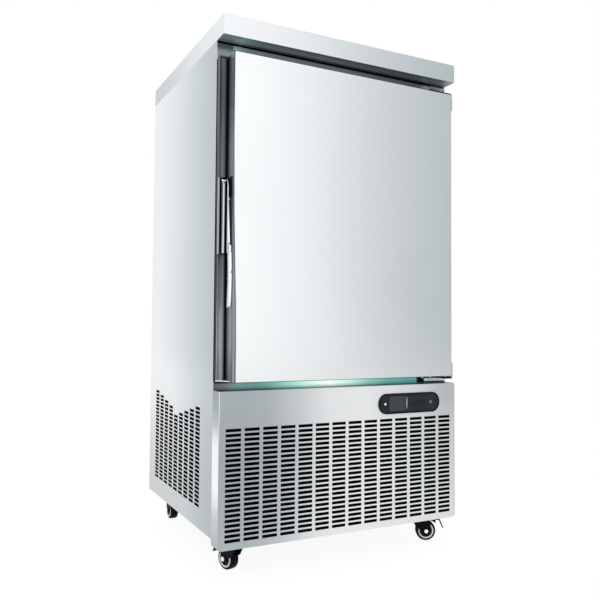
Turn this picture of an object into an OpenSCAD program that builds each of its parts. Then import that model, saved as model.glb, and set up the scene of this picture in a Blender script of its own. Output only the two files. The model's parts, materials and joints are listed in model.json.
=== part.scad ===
// Upright single-door blast chiller on swivel casters.
// Millimetres. Origin: middle of the footprint, on the floor. +X right, +Y to the back, +Z up.
// The door faces -Y. Every piece is drawn where it stands, with the door shut.

/* [Cabinet] */
// Overall width
cab_w = 800; // [740:10:860]
// Depth of the body, from its back face to its front face
body_d = 650; // [640:10:720]
// Height of the body's lower edge above the floor
body_z0 = 105; // [100:1:110]
// Height of the top cap's underside above the floor
cap_z0 = 1484; // [1400:2:1640]
// Height of the top cap
cap_h = 57; // [45:1:80]
// Reach of the top cap in front of the body
cap_over = 52; // [35:1:60]
// Thickness of the sheet metal
skin = 1.5; // [1.2:0.1:2]
// Width of the folded edges of the panels
hem = 20; // [15:1:24]

/* [Chamber] */
// Thickness of the chamber's side walls
side_t = 65; // [60:1:70]
// Height of the chamber floor above the machine compartment's ceiling
floor_t = 65; // [55:1:70]
// Thickness of the chamber's back wall
back_t = 60; // [50:1:66]
// Space between the fan plate and the chamber's back wall
duct_d = 150; // [140:1:160]
// Distance between two tray levels
level_pitch = 78; // [70:1:80]
// Height of the lowest tray level above the chamber floor
level_z0 = 32; // [20:1:36]
// Width of the ledge that a tray rests on
ledge_w = 41; // [30:1:50]

/* [Lower front panel] */
// Height of the panel's lower edge above the floor
panel_z0 = 84; // [80:1:90]
// Height of the panel
panel_h = 424; // [415:1:428]
// Depth of the folded panel in front of the body
panel_d = 50; // [40:1:56]
// Radius of the panel's two lower corners
panel_r = 10; // [4:1:16]
// Number of slot columns
grille_cols = 14; // [8:1:14]
// Least distance from the slots up to the control panel
grille_gap = 14; // [12:1:18]
// Length of one slot
slot_w = 45; // [30:1:50]
// Height of one slot
slot_h = 8.5; // [5:0.5:9.5]
// Margin beside the slot columns
grille_side = 15; // [10:1:20]
// Distance between two slot rows
slot_dz = 13.4; // [12:0.1:13.6]
// Height of the lowest slot's middle above the panel's lower edge
grille_z0 = 24; // [16:1:30]

/* [Side vents] */
// Number of vent columns
vent_cols = 9; // [5:1:9]
// Least distance from the vents up to the machine compartment's ceiling
vent_top = 42; // [38:1:46]
// Length of one vent slot
vent_w = 40; // [25:1:44]
// Distance between two vent columns
vent_dy = 53.5; // [48:0.5:56]
// Distance between two vent rows
vent_dz = 12; // [11:0.5:12.5]
// Distance from the back face to the middle of the first column
vent_y0 = 97; // [80:1:110]
// Height of the lowest vent's middle above the body's lower edge
vent_z0 = 64; // [50:1:70]

/* [Door] */
// Gap between the body's front face and the door's step
seal_gap = 8; // [7:0.5:10]
// Thickness of the door's full-width step
step_t = 10; // [8:0.5:14]
// Width of the step on each side
step_w = 26.5; // [24:0.5:28]
// Depth of the door's front pan
pan_d = 52; // [46:1:60]
// Height of the strip between the lower front panel and the door
strip_h = 25; // [20:1:30]
// Gap between the door and the top cap
door_gap = 50; // [46:1:54]
// How far the door reaches past the chamber's opening at the top
door_lap = 34; // [32:1:38]
// Radius of the pan's two vertical front edges
pan_r = 3; // [2:0.5:5]
// Width of the gasket
gasket_w = 22; // [16:1:24]

/* [Latch] */
// Height of the latch housing's lower end above the floor
latch_z0 = 881; // [860:1:900]
// Height of the latch housing
latch_h = 211; // [180:1:230]
// Width of the half-round latch housing
cover_w = 14; // [13:0.5:15]
// Depth of the latch housing in front of the step
cover_d = 36; // [34:1:40]
// Wall of the latch housing
cover_wall = 2; // [1.6:0.1:2.2]
// Thickness of the cheek that carries the lever's shaft
cheek_t = 2.6; // [2:0.1:2.8]
// Distance from the housing's upper end down to the lever's shaft
shaft_drop = 62; // [50:1:80]
// Distance of the lever's shaft in front of the step
shaft_f = 26; // [25:0.5:27]
// Radius of the lever's shaft
shaft_r = 4; // [3:0.25:4.5]
// Thickness of the lever
lever_t = 7.2; // [5:0.2:7.4]
// Length of the lever below its shaft
lever_l = 297; // [240:1:310]

/* [Hinge] */
// Distance from the cabinet's right side to the hinge pin
hinge_in = 12; // [11:0.5:13]
// Distance of the hinge pin in front of the step
hinge_f = 22; // [20:0.5:24]
// Radius of the hinge pins
pin_r = 6; // [4:0.25:6.5]
// Length of each hinge pin inside its block
pin_l = 40; // [30:1:50]

/* [Control panel] */
// Width of the control panel
bezel_w = 228; // [220:1:236]
// Height of the control panel
bezel_h = 62; // [58:1:66]
// Distance from the cabinet's right side to the control panel's middle
bezel_in = 177; // [170:1:185]
// Distance from the lower front panel's upper edge down to the control panel's middle
bezel_drop = 56; // [52:1:58]
// How far the control panel stands proud
bezel_t = 3; // [2:0.5:5]
// Width of the display window
window_w = 62; // [50:1:64]
// Radius of the power button
power_r = 9; // [6:0.5:10]
// Radius of the mode button
mode_r = 5; // [3:0.5:6]
// Travel of both buttons
button_travel = 1.5; // [1:0.1:2]

/* [Casters] */
// Radius of the wheels
wheel_r = 31.5; // [28:0.5:32]
// Width of the wheels
wheel_w = 26; // [20:1:28]
// Height from the floor to the top of the mounting plates
caster_h = 96; // [94:0.5:98]
// Distance from a wheel's axle to its swivel axis
trail = 18; // [12:1:20]
// Distance from the cabinet's side to the swivel axes
caster_in = 76; // [74:1:90]
// Distance from the body's front face to the front swivel axes
caster_front = 32; // [31:1:40]
// Distance from the body's back face to the rear swivel axes
caster_rear = 52; // [52:1:60]
// Radius of the axle bolts
axle_r = 5; // [4:0.25:6]

/* [Machine compartment] */
// Height and width of the base frame's channels
rail = 30; // [26:1:34]
// Thickness of the base frame's steel
rail_t = 2; // [1.5:0.1:3]
// Radius of the compressor's shell
comp_r = 88; // [70:1:92]
// Height of the compressor's shell
comp_h = 230; // [200:1:240]
// Width of the condenser coil
cond_w = 380; // [330:5:400]
// Distance from the condenser coil up to the compartment's ceiling
cond_gap = 25; // [15:1:45]
// Depth of the condenser coil
cond_d = 50; // [40:1:60]
// Radius of the condenser fan
cond_fan_r = 125; // [100:1:130]
// Radius of the evaporator fans
evap_fan_r = 100; // [80:1:105]

/* [Clearances] */
// Radial clearance of running fits
run_fit = 0.05; // [0.02:0.01:0.1]
// Gap between surfaces that slide past each other
slide_gap = 0.3; // [0.2:0.05:0.5]

/* [Hidden] */
$fn = 48;

// Cabinet planes
half_w = cab_w / 2;
y_back = (body_d + seal_gap + step_t + pan_d) / 2;
y_face = y_back - body_d;
y_step_b = y_face - seal_gap;
y_step_f = y_step_b - step_t;
y_front = y_step_f - pan_d;
in_w = half_w - skin;

// Chamber
ceiling_z = panel_z0 + panel_h - 3.5;
foam_z0 = ceiling_z;
chamber_z0 = foam_z0 + floor_t - skin;
door_z0 = panel_z0 + panel_h + strip_h;
door_h = cap_z0 - door_gap - door_z0;
chamber_z1 = door_z0 + door_h - door_lap;
chamber_h = chamber_z1 - chamber_z0;
chamber_y1 = y_back - back_t;
baffle_y = chamber_y1 - duct_d;
half_c = half_w - side_t;

// Casters: side, row and the way each one is turned
caster_x = half_w - caster_in;
caster_y_front = y_face + caster_front;
caster_y_rear = y_back - caster_rear;
turn_fl = 108;
turn_fr = -27;
turn_rl = 90;
turn_rr = 75;
plate_t = 3;
plate_w = 56;
crown_h = 10;

// Base frame and machine floor
base_z = caster_h;
floor_z = base_z + rail;
pan_z = floor_z + skin;
base_x = half_w - hem;
base_y0 = y_face + 4;
base_y1 = y_back - 12;

// Machinery
cond_x = 40 + cond_w / 2 - base_x;
cond_y0 = y_face + 28;
cond_z0 = pan_z + 12;
cond_h = ceiling_z - cond_gap - cond_z0;
cond_pipe_x = cond_x + cond_w / 2 + 24;
cond_fan_z = cond_z0 + cond_h / 2;
shroud_d = 40;
comp_x = comp_r + 62 - base_x;
comp_y = y_back - 200;
comp_foot_h = 18;
comp_z0 = pan_z + comp_foot_h;
recv_x = cond_x + cond_w / 2;
recv_y = y_back - 160;
recv_r = 45;
drier_drop = 64.5;
drier_z = ceiling_z - drier_drop;
recv_top = drier_z - 50;
recv_out_z = pan_z + 57.5;
liquid_loop_z = recv_out_z + 35;
drier_x0 = recv_x + 40;
drier_l = 130;
coil_half = half_c - 91;
liquid_x = coil_half + 26;
liquid_y = chamber_y1 - 32;
suction_x = coil_half + 51;
suction_y = chamber_y1 - 50;
small_pipe_r = 5;
suction_pipe_r = 8;
pipe_gap = 0.4;
coil_y0 = chamber_y1 - 66;
coil_y1 = chamber_y1;
coil_z0 = chamber_z0 + 72;
coil_z1 = chamber_z1 - 26;
liquid_z = coil_z0 + 20;
suction_z = coil_z0 + 80;
drain_r = 10;
drain_y = chamber_y1 - 35;
fan_z = [chamber_z0 + chamber_h * 0.27, chamber_z0 + chamber_h * 0.73];
fan_hole_r = evap_fan_r + 8;

// Door and latch
door_z1 = door_z0 + door_h;
pan_x = half_w - step_w;
hinge_x = half_w - hinge_in;
hinge_y = y_step_f - hinge_f;
gasket_x = half_c + gasket_w + 5;
gasket_z0 = door_z0 + 8;
gasket_z1 = door_z1 - 8;
latch_z1 = latch_z0 + latch_h;
shaft_y = y_step_f - shaft_f;
shaft_z = latch_z1 - shaft_drop;
cheek_x0 = -half_w + cover_w;
cheek_x1 = cheek_x0 + cheek_t;
lever_x0 = cheek_x1 + 0.6;
lever_x1 = lever_x0 + lever_t;
plate_x0 = -pan_x - 1.5;
keeper_w = 6.5;
keeper_x = -half_w + cover_w / 2 + 0.2;

// Box given by its two corners
module box(x0, x1, y0, y1, z0, z1) {
  translate([x0, y0, z0]) cube([x1 - x0, y1 - y0, z1 - z0]);
}

// Flat ring round the door or the opening, in the XZ plane
module ring(xo, zo0, zo1, xi, zi0, zi1, y0, y1) {
  difference() {
    box(-xo, xo, y0, y1, zo0, zo1);
    box(-xi, xi, y0 - 1, y1 + 1, zi0, zi1);
  }
}

// Cylinder along X or Y
module rod_x(r, x0, x1, y, z) {
  translate([x0, y, z]) rotate([0, 90, 0]) cylinder(r = r, h = x1 - x0);
}
module rod_y(r, y0, y1, x, z) {
  translate([x, y1, z]) rotate([90, 0, 0]) cylinder(r = r, h = y1 - y0);
}

// Rectangle with four round corners
module round_rect(w, h, r) {
  square([w - 2 * r, h], center = true);
  square([w, h - 2 * r], center = true);
  for (sx = [-1, 1], sz = [-1, 1]) translate([sx * (w / 2 - r), sz * (h / 2 - r)]) circle(r = r);
}

// Profile in the XZ plane pulled along Y from y0 to y1
module pull_y(y0, y1) {
  translate([0, y1, 0]) rotate([90, 0, 0]) linear_extrude(y1 - y0) children();
}
// Profile in the YZ plane pulled along X from x0 to x1
module pull_x(x0, x1) {
  translate([x0, 0, 0]) rotate([90, 0, 90]) linear_extrude(x1 - x0) children();
}

// Points of an arc
function arc(cx, cy, r, a0, a1, n) =
  [for (i = [0 : n]) let (a = a0 + (a1 - a0) * i / n) [cx + r * cos(a), cy + r * sin(a)]];

// Bent tube through a list of points, with a bend of radius b at each inner point
module tube(p, r, b) {
  n = len(p) - 1;
  for (i = [0 : n - 1]) {
    d = p[i + 1] - p[i];
    u = d / norm(d);
    s = p[i] + (i == 0 ? 0 : b) * u;
    e = p[i + 1] - (i == n - 1 ? 0 : b) * u;
    if (norm(e - s) > 0.01) straight(s, u, norm(e - s), r);
    if (i < n - 1) {
      f = p[i + 2] - p[i + 1];
      v = f / norm(f);
      c = e + b * v;
      w = cross(u, v);
      multmatrix([[-v[0], u[0], w[0], c[0]], [-v[1], u[1], w[1], c[1]], [-v[2], u[2], w[2], c[2]]])
        rotate_extrude(angle = 90) translate([b, 0]) circle(r = r);
    }
  }
}
module straight(s, u, l, r) {
  translate(s) rotate([0, acos(u[2]), atan2(u[1], u[0])]) cylinder(r = r, h = l);
}

// ---------------------------------------------------------------- cabinet

// Welded frame of inward channels, with a gusset for a caster in each corner
module base_frame() {
  gusset = base_x - caster_x + plate_w / 2 + 6;
  color("dimgray") {
    difference() {
      box(-base_x, base_x, base_y0, base_y1, base_z, floor_z);
      box(-base_x + rail, base_x - rail, base_y0 + rail, base_y1 - rail, base_z - 1, floor_z + 1);
      box(-base_x + rail_t, base_x - rail_t, base_y0 + rail_t, base_y1 - rail_t,
          base_z + rail_t, floor_z - rail_t);
    }
    for (sx = [-1, 1], sy = [-1, 1]) translate([sx * base_x, (base_y0 + base_y1) / 2, base_z])
      translate([sx < 0 ? 0 : -gusset, sy * (base_y1 - base_y0) / 2 - (sy < 0 ? 0 : gusset), 0])
        cube([gusset, gusset, rail_t]);
  }
}

module base_pan() {
  color("silver") difference() {
    box(-base_x, base_x, base_y0, base_y1, floor_z, floor_z + hem);
    box(-base_x + skin, base_x - skin, base_y0 + skin, base_y1 - skin, pan_z, floor_z + hem + 1);
  }
}

vent_rows = 1 + floor((ceiling_z - vent_top - body_z0 - vent_z0) / vent_dz);
// Rows that a vent column loses at its top, counted from the back: the vents' upper edge is a V
function vent_drop(i) = i < 4 ? round(i * 1.25 - 0.3) : max(0, 9 - i);

// Vent slots of one side panel
module vents() {
  for (i = [0 : vent_cols - 1], k = [0 : vent_rows - 1 - vent_drop(i)])
    translate([-skin, y_back - vent_y0 - i * vent_dy - vent_w / 2,
               body_z0 + vent_z0 + k * vent_dz - slot_h / 2])
      cube([3 * skin, vent_w, slot_h]);
}

// Left side panel with its plate's outer face at X = 0
module side_panel() {
  difference() {
    union() {
      box(0, skin, y_face, y_back, body_z0, cap_z0);
      box(skin, hem, y_face + skin, y_face + 2 * skin, body_z0, cap_z0);
      box(skin, hem, y_face + skin, y_back, cap_z0 - skin, cap_z0);
      box(skin, hem, y_face + skin, y_back - skin, body_z0, body_z0 + skin);
      box(skin, hem, y_back - 3 * skin, y_back - 2 * skin, body_z0, ceiling_z - skin);
    }
    vents();
  }
}
module left_side_panel() {
  color("lightgray") translate([-half_w, 0, 0]) side_panel();
}
module right_side_panel() {
  color("lightgray") mirror([1, 0, 0]) translate([-half_w, 0, 0]) side_panel();
}

// Holes for the two refrigerant pipes and the drain, through the chamber floor
module floor_holes() {
  translate([liquid_x, liquid_y, ceiling_z - 5])
    cylinder(r = small_pipe_r + pipe_gap, h = floor_t + 10);
  translate([suction_x, suction_y, ceiling_z - 5])
    cylinder(r = suction_pipe_r + pipe_gap, h = floor_t + 10);
  translate([0, drain_y, ceiling_z - 5]) cylinder(r = drain_r + pipe_gap, h = floor_t + 10);
}

// Back skin of the chamber, folded forwards under it as the machine compartment's ceiling
module back_panel() {
  color("lightgray") difference() {
    union() {
      box(-in_w, in_w, y_back - skin, y_back, ceiling_z - skin, cap_z0 - skin);
      box(-in_w, in_w, y_face + 2 * skin, y_back, ceiling_z - skin, ceiling_z);
    }
    floor_holes();
  }
}

rear_z0 = body_z0 + skin;
rear_z1 = ceiling_z - skin;
rear_x = in_w - 0.5;
rear_slot_w = 160;
rear_slot_dx = 200;
rear_slot_dz = 18;
rear_slot_z0 = rear_z0 + 110;
rear_rows = 1 + floor((rear_z1 - 80 - rear_slot_z0) / rear_slot_dz);
module rear_cover() {
  color("silver") difference() {
    box(-rear_x, rear_x, y_back - 2 * skin, y_back - skin, rear_z0, rear_z1 - 0.5);
    for (i = [-1 : 1], k = [0 : rear_rows - 1])
      translate([i * rear_slot_dx - rear_slot_w / 2, y_back - 5 * skin, rear_slot_z0 + k * rear_slot_dz])
        cube([rear_slot_w, 6 * skin, slot_h]);
  }
}

module panel_screws() {
  color("gray") for (sx = [-1, 1], z = [rear_z0 + 30, (rear_z0 + rear_z1) / 2, rear_z1 - 30])
    difference() {
      rod_y(5, y_back - skin, y_back, sx * (in_w - hem / 2), z);
      for (a = [0, 90]) translate([sx * (in_w - hem / 2), y_back, z]) rotate([0, a, 0])
        cube([6, 1.6, 1.2], center = true);
    }
}

// Folded hood, open below behind its front lip
module top_cap() {
  y_cap = y_face - cap_over;
  color("gainsboro") difference() {
    box(-half_w, half_w, y_cap, y_back, cap_z0, cap_z0 + cap_h);
    box(-in_w, in_w, y_cap + skin, y_back - skin, cap_z0 + skin, cap_z0 + cap_h - skin);
    box(-half_w + hem, half_w - hem, y_face + hem, y_back - hem, cap_z0 - 1, cap_z0 + 2 * skin);
  }
}

module inner_liner() {
  color("whitesmoke") difference() {
    box(-half_c - skin, half_c + skin, y_face + skin, chamber_y1 + skin,
        chamber_z0 - skin, chamber_z1 + skin);
    box(-half_c, half_c, y_face, chamber_y1, chamber_z0, chamber_z1);
    floor_holes();
  }
}

module cabinet_insulation() {
  color("khaki") difference() {
    box(-in_w, in_w, y_face + 2 * skin, y_back - skin, foam_z0, cap_z0 - skin);
    box(-half_c - skin, half_c + skin, y_face, chamber_y1 + skin,
        chamber_z0 - skin, chamber_z1 + skin);
    floor_holes();
  }
}

module face_frame() {
  color("silver") ring(in_w, foam_z0, cap_z0, half_c, chamber_z0, chamber_z1, y_face, y_face + skin);
}

// ---------------------------------------------------------------- lower front

// Outline of the panel seen from the front, shrunk by t
module panel_outline(t) {
  w = cab_w - 2 * t;
  r = panel_r - t;
  translate([-w / 2, panel_z0 + t + r]) square([w, panel_h - 2 * t - r]);
  translate([-w / 2 + r, panel_z0 + t]) square([w - 2 * r, r + 1]);
  for (sx = [-1, 1]) translate([sx * (w / 2 - r), panel_z0 + t + r]) circle(r = r);
}

module lower_front_panel() {
  y0 = y_face - panel_d;
  color("silver") difference() {
    pull_y(y0, y_face) panel_outline(0);
    pull_y(y0 + skin, y_face + 1) panel_outline(skin);
    for (i = [0 : grille_cols - 1], k = [0 : grille_rows - 1])
      translate([(i - (grille_cols - 1) / 2) * slot_dx - slot_w / 2, y0 - 1,
                 panel_z0 + grille_z0 + k * slot_dz - slot_h / 2])
        cube([slot_w, skin + 2, slot_h]);
    translate([bezel_x, 0, panel_z0 + bezel_z]) pull_y(y0 - 1, y0 + skin + 1)
      round_rect(bezel_w - 8, bezel_h - 8, bezel_r - 4);
  }
}

slot_dx = (cab_w - 2 * grille_side) / grille_cols;
bezel_x = half_w - bezel_in;
bezel_z = panel_h - bezel_drop;
bezel_r = bezel_h / 2 - 2;
grille_rows = 1 + floor((bezel_z - bezel_h / 2 - grille_gap - grille_z0) / slot_dz);
bezel_y = y_face - panel_d - bezel_t;
bezel_back = y_face - 12;
window_x = bezel_x - 47;
pad_x = bezel_x + 46;
pad_w = 106;
pad_h = 44;
power_x = bezel_x - 92;
mode_x = bezel_x + 79;
inlay_t = 2;
button_l = 14;
bezel_cz = panel_z0 + bezel_z;

module control_bezel() {
  color("black") difference() {
    union() {
      translate([bezel_x, 0, bezel_cz]) pull_y(bezel_y, bezel_y + bezel_t)
        round_rect(bezel_w, bezel_h, bezel_r);
      translate([bezel_x, 0, bezel_cz]) pull_y(bezel_y + bezel_t, bezel_back)
        round_rect(bezel_w - 8 - 2 * slide_gap, bezel_h - 8 - 2 * slide_gap, bezel_r - 4);
    }
    box(window_x - window_w / 2, window_x + window_w / 2, bezel_y - 1, bezel_y + inlay_t,
        bezel_cz - pad_h / 2, bezel_cz + pad_h / 2);
    box(pad_x - pad_w / 2, pad_x + pad_w / 2, bezel_y - 1, bezel_y + inlay_t,
        bezel_cz - pad_h / 2, bezel_cz + pad_h / 2);
    rod_y(power_r + slide_gap, bezel_y - 1, bezel_y + button_l + 4, power_x, bezel_cz);
    rod_y(mode_r + slide_gap, bezel_y - 1, bezel_y + button_l + 4, mode_x, bezel_cz);
    box(bezel_x - bezel_w / 2 + 20, bezel_x + bezel_w / 2 - 20, bezel_y + button_l + 8,
        bezel_back + 1, bezel_cz - bezel_h / 2 + 8, bezel_cz + bezel_h / 2 - 8);
  }
}

module display_window() {
  color("darkslategray")
    box(window_x - window_w / 2 + slide_gap / 2, window_x + window_w / 2 - slide_gap / 2,
        bezel_y, bezel_y + inlay_t, bezel_cz - pad_h / 2 + slide_gap / 2,
        bezel_cz + pad_h / 2 - slide_gap / 2);
}

// Key strip: a plate with a row of upright ribs and the hole of the mode button
module control_pad() {
  rib_pitch = 5;
  x0 = pad_x - pad_w / 2 + slide_gap / 2;
  color("dimgray") difference() {
    union() {
      box(x0, pad_x + pad_w / 2 - slide_gap / 2, bezel_y + 0.8, bezel_y + inlay_t,
          bezel_cz - pad_h / 2 + slide_gap / 2, bezel_cz + pad_h / 2 - slide_gap / 2);
      for (i = [0 : 10])
        box(x0 + 18 + i * rib_pitch, x0 + 20 + i * rib_pitch, bezel_y, bezel_y + 1,
            bezel_cz - 9, bezel_cz + 9);
    }
    rod_y(mode_r + slide_gap, bezel_y - 1, bezel_y + inlay_t + 1, mode_x, bezel_cz);
  }
}

// Push button: a stem with a domed end in front
module button(r, x) {
  rod_y(r, bezel_y - 1, bezel_y + button_l, x, bezel_cz);
  translate([x, bezel_y - 1, bezel_cz]) rotate([90, 0, 0])
    cylinder(r1 = r, r2 = r - 1.2, h = 1.2);
}
module power_button() { color("white") button(power_r, power_x); }
module mode_button() { color("lightgray") button(mode_r, mode_x); }

control_d = 150;
// Control gear box: a folded shell with its lid in front and three cable glands behind
module electric_box() {
  x0 = cond_pipe_x + 86;
  x1 = base_x - skin;
  y0 = y_face + 14;
  y1 = y0 + control_d;
  z1 = ceiling_z - 104.5;
  t = 2;
  color("gray") {
    difference() {
      box(x0, x1, y0 + t, y1, pan_z, z1);
      box(x0 + t, x1 - t, y0, y1 - t, pan_z + t, z1 - t);
    }
    box(x0, x1, y0, y0 + t, pan_z, z1);
    for (i = [1 : 3]) rod_y(9, y1 - 1, y1 + 15, x0 + (x1 - x0) * i / 4, pan_z + 40);
  }
}

// ---------------------------------------------------------------- chamber

rack_y0 = y_face + 12;
rack_y1 = baffle_y - 16;
upright_t = 4;
upright_w = 20;
tray_rim = 25;
seam = 0.1;
levels = 1 + floor((chamber_h - level_z0 - tray_rim - 15) / level_pitch);
// Left rack: two uprights and the angle slides that are riveted to them
module tray_rack() {
  x = -half_c + upright_t + seam;
  color("silver") {
    for (y = [rack_y0 + 30, rack_y1 - 50])
      box(-half_c, x - seam, y, y + upright_w, chamber_z0, chamber_z1 - 10);
    for (k = [0 : levels - 1]) translate([0, 0, chamber_z0 + level_z0 + k * level_pitch]) {
      pull_y(rack_y0, rack_y1)
        polygon([[x, 0], [x + ledge_w, 0], [x + ledge_w, skin], [x + skin, skin],
                 [x + skin, tray_rim], [x, tray_rim]]);
    }
  }
}
module left_tray_rack() { tray_rack(); }
module right_tray_rack() { mirror([1, 0, 0]) tray_rack(); }

// Fan plate with its guards: rings of punched arc slots in front of both fans
module fan_baffle() {
  lip = 30;
  ring_n = 5;
  ring_w = fan_hole_r / ring_n;
  web = 4;
  color("gainsboro") difference() {
    union() {
      box(-half_c, half_c, baffle_y - skin, baffle_y, chamber_z0 + lip, chamber_z1 - lip);
      for (side = [0, 1]) mirror([side, 0, 0])
        box(-half_c, -half_c + skin, baffle_y, baffle_y + hem, chamber_z0 + lip, chamber_z1 - lip);
    }
    for (z = fan_z) difference() {
      for (i = [1 : ring_n - 1]) translate([0, baffle_y + 5, z]) rotate([90, 0, 0])
        rotate_extrude() translate([i * ring_w + web / 2, 0]) square([ring_w - web, 10]);
      for (a = [0, 45, 90, 135]) translate([0, baffle_y, z]) rotate([0, a, 0])
        cube([2 * fan_hole_r + 10, 20, 2 * web], center = true);
    }
  }
}

fan_y = baffle_y + 18;
motor_y = baffle_y + 34;
motor_l = 44;
motor_shaft_r = 4;
// Motor on a four-armed spider whose posts stand on the fan plate
module spider_motor(cx, z, y_plate, y_motor, l, r_motor, r_arm) {
  rod_y(r_motor, y_motor, y_motor + l, cx, z);
  rod_y(motor_shaft_r, y_motor - 26, y_motor, cx, z);
  for (a = [0, 90]) translate([cx, y_motor + l - 6, z]) rotate([0, a, 0])
    cube([2 * r_arm, 4, 12], center = true);
  for (a = [0 : 90 : 270])
    translate([cx + r_arm * cos(a) , y_motor + l - 4, z + r_arm * sin(a)]) rotate([90, 0, 0])
      cylinder(r = 5, h = y_motor + l - 4 - y_plate);
}
module evaporator_motors() {
  color("dimgray") for (z = fan_z)
    spider_motor(0, z, baffle_y, motor_y, motor_l, 36, fan_hole_r + 8);
}

// Fan with five pitched blades round a bored hub
module fan(cx, cy, z, r, hub_r, hub_l, blade_n) {
  translate([cx, cy, z]) rotate([90, 0, 0]) difference() {
    union() {
      translate([0, 0, -hub_l / 2]) cylinder(r = hub_r, h = hub_l);
      intersection() {
        for (i = [0 : blade_n - 1]) rotate([0, 0, i * 360 / blade_n]) translate([0, r / 2, 0])
          rotate([0, 28, 0]) cube([r * 0.62, r, 2], center = true);
        translate([0, 0, -hub_l]) cylinder(r = r, h = 2 * hub_l);
      }
    }
    translate([0, 0, -2 * hub_l]) cylinder(r = motor_shaft_r + run_fit, h = 4 * hub_l);
  }
}
evap_hub = 22;
module evaporator_fan(z) { color("black") fan(0, fan_y, z, evap_fan_r, evap_hub, evap_hub, 5); }
module upper_evaporator_fan() { evaporator_fan(fan_z[1]); }
module lower_evaporator_fan() { evaporator_fan(fan_z[0]); }

// Fin block between two end plates that are screwed to the chamber's back wall
module evaporator_coil() {
  fin_n = 26;
  fin_t = 6;
  block = 2 * coil_half - 20;
  pitch = (block - fin_t) / (fin_n - 1);
  color("lightsteelblue") {
    for (i = [0 : fin_n - 1])
      translate([-block / 2 + i * pitch, coil_y0 + 4, coil_z0]) cube([fin_t, 54, coil_z1 - coil_z0]);
    for (z = [coil_z0 + 40 : 78 : coil_z1 - 30]) rod_x(6, -coil_half, coil_half, coil_y0 + 31, z);
    for (sx = [-1, 1])
      box(sx * coil_half - skin, sx * coil_half + skin, coil_y0, coil_y1, coil_z0, coil_z1);
    rod_x(small_pipe_r, coil_half, coil_half + 10, liquid_y, liquid_z);
    rod_x(suction_pipe_r, coil_half, coil_half + 10, suction_y, suction_z);
  }
}

// Drain tray on the back wall under the coil, with its spigot down into the machine compartment
module drip_tray() {
  tray_lift = 34;
  x = coil_half - skin;
  z0 = chamber_z0 + tray_lift;
  color("silver") difference() {
    union() {
      box(-x, x, coil_y0, coil_y1, z0, z0 + 20);
      translate([0, drain_y, ceiling_z - 40]) cylinder(r = drain_r, h = z0 + 2 - ceiling_z + 40);
    }
    box(-x + skin, x - skin, coil_y0 + skin, coil_y1 - skin, z0 + skin, z0 + 21);
    translate([0, drain_y, ceiling_z - 41]) cylinder(r = drain_r - 2, h = floor_t + 100);
  }
}

// ---------------------------------------------------------------- machinery

module compressor() {
  zt = comp_z0 + 4;
  color("black") {
    box(comp_x - 80, comp_x + 80, comp_y - 80, comp_y + 80, comp_z0, zt);
    translate([comp_x, comp_y, zt]) rotate_extrude() {
      square([comp_r, comp_h - 45]);
      square([comp_r - 45, comp_h]);
      intersection() {
        translate([comp_r - 45, comp_h - 45]) circle(r = 45);
        square([comp_r + 1, comp_h + 1]);
      }
      translate([0, comp_h * 0.55]) square([comp_r + 3, 8]);
    }
    rod_y(small_pipe_r, comp_y - comp_r - 20, comp_y, comp_x, zt + 170);
    rod_x(suction_pipe_r, comp_x, comp_x + comp_r + 20, comp_y, zt + 130);
    box(comp_x - comp_r - 24, comp_x - comp_r + 20, comp_y - 30, comp_y + 30, zt + 60, zt + 130);
  }
}

comp_foot_in = 66;
module compressor_feet() {
  color("dimgray") for (sx = [-1, 1], sy = [-1, 1])
    translate([comp_x + sx * comp_foot_in, comp_y + sy * comp_foot_in, pan_z]) rotate_extrude() {
      square([12, comp_foot_h]);
      square([15, 5]);
      translate([0, comp_foot_h - 5]) square([15, 5]);
    }
}

module condenser_coil() {
  fin_n = 40;
  fin_t = 4;
  pitch = (cond_w - fin_t) / (fin_n - 1);
  x0 = cond_x - cond_w / 2;
  color("dimgray") {
    for (i = [0 : fin_n - 1])
      translate([x0 + i * pitch, cond_y0, cond_z0]) cube([fin_t, cond_d, cond_h]);
    for (z = [cond_z0 + 20 : 50 : cond_z0 + cond_h - 20])
      rod_x(5, x0 - 12, x0 + cond_w + 12, cond_y0 + cond_d / 2, z);
    for (x = [x0 - 12, x0 + cond_w + 10])
      box(x, x + 2, cond_y0, cond_y0 + cond_d, pan_z, cond_z0 + cond_h);
    rod_x(small_pipe_r, x0 + cond_w + 12, x0 + cond_w + 24, cond_y0 + 37, cond_z0 + cond_h - 28);
    rod_x(small_pipe_r, x0 + cond_w + 12, x0 + cond_w + 24, cond_y0 + 22, cond_z0 + 30);
  }
}

shroud_y0 = cond_y0 + cond_d;
shroud_y1 = shroud_y0 + shroud_d;
module condenser_shroud() {
  x0 = cond_x - cond_w / 2;
  x1 = cond_x + cond_w / 2;
  color("gray") difference() {
    union() {
      box(x0, x1, shroud_y0, shroud_y1, cond_z0, cond_z0 + cond_h);
      rod_y(cond_fan_r + 8, shroud_y1, shroud_y1 + 14, cond_x, cond_fan_z);
      box(x0 + 20, x1 - 20, shroud_y1 - skin, shroud_y1, pan_z, cond_z0);
    }
    box(x0 + skin, x1 - skin, shroud_y0 - 1, shroud_y1 - skin, cond_z0 + skin, cond_z0 + cond_h - skin);
    rod_y(cond_fan_r + 6, shroud_y0, shroud_y1 + 15, cond_x, cond_fan_z);
  }
}

cond_motor_y = shroud_y1 + 28;
module condenser_motor() {
  color("black") spider_motor(cond_x, cond_fan_z, shroud_y1, cond_motor_y, 52, 42, cond_fan_r + 16);
}
module condenser_fan() {
  color("dimgray") fan(cond_x, shroud_y1 + 6, cond_fan_z, cond_fan_r, 30, 24, 5);
}

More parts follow.
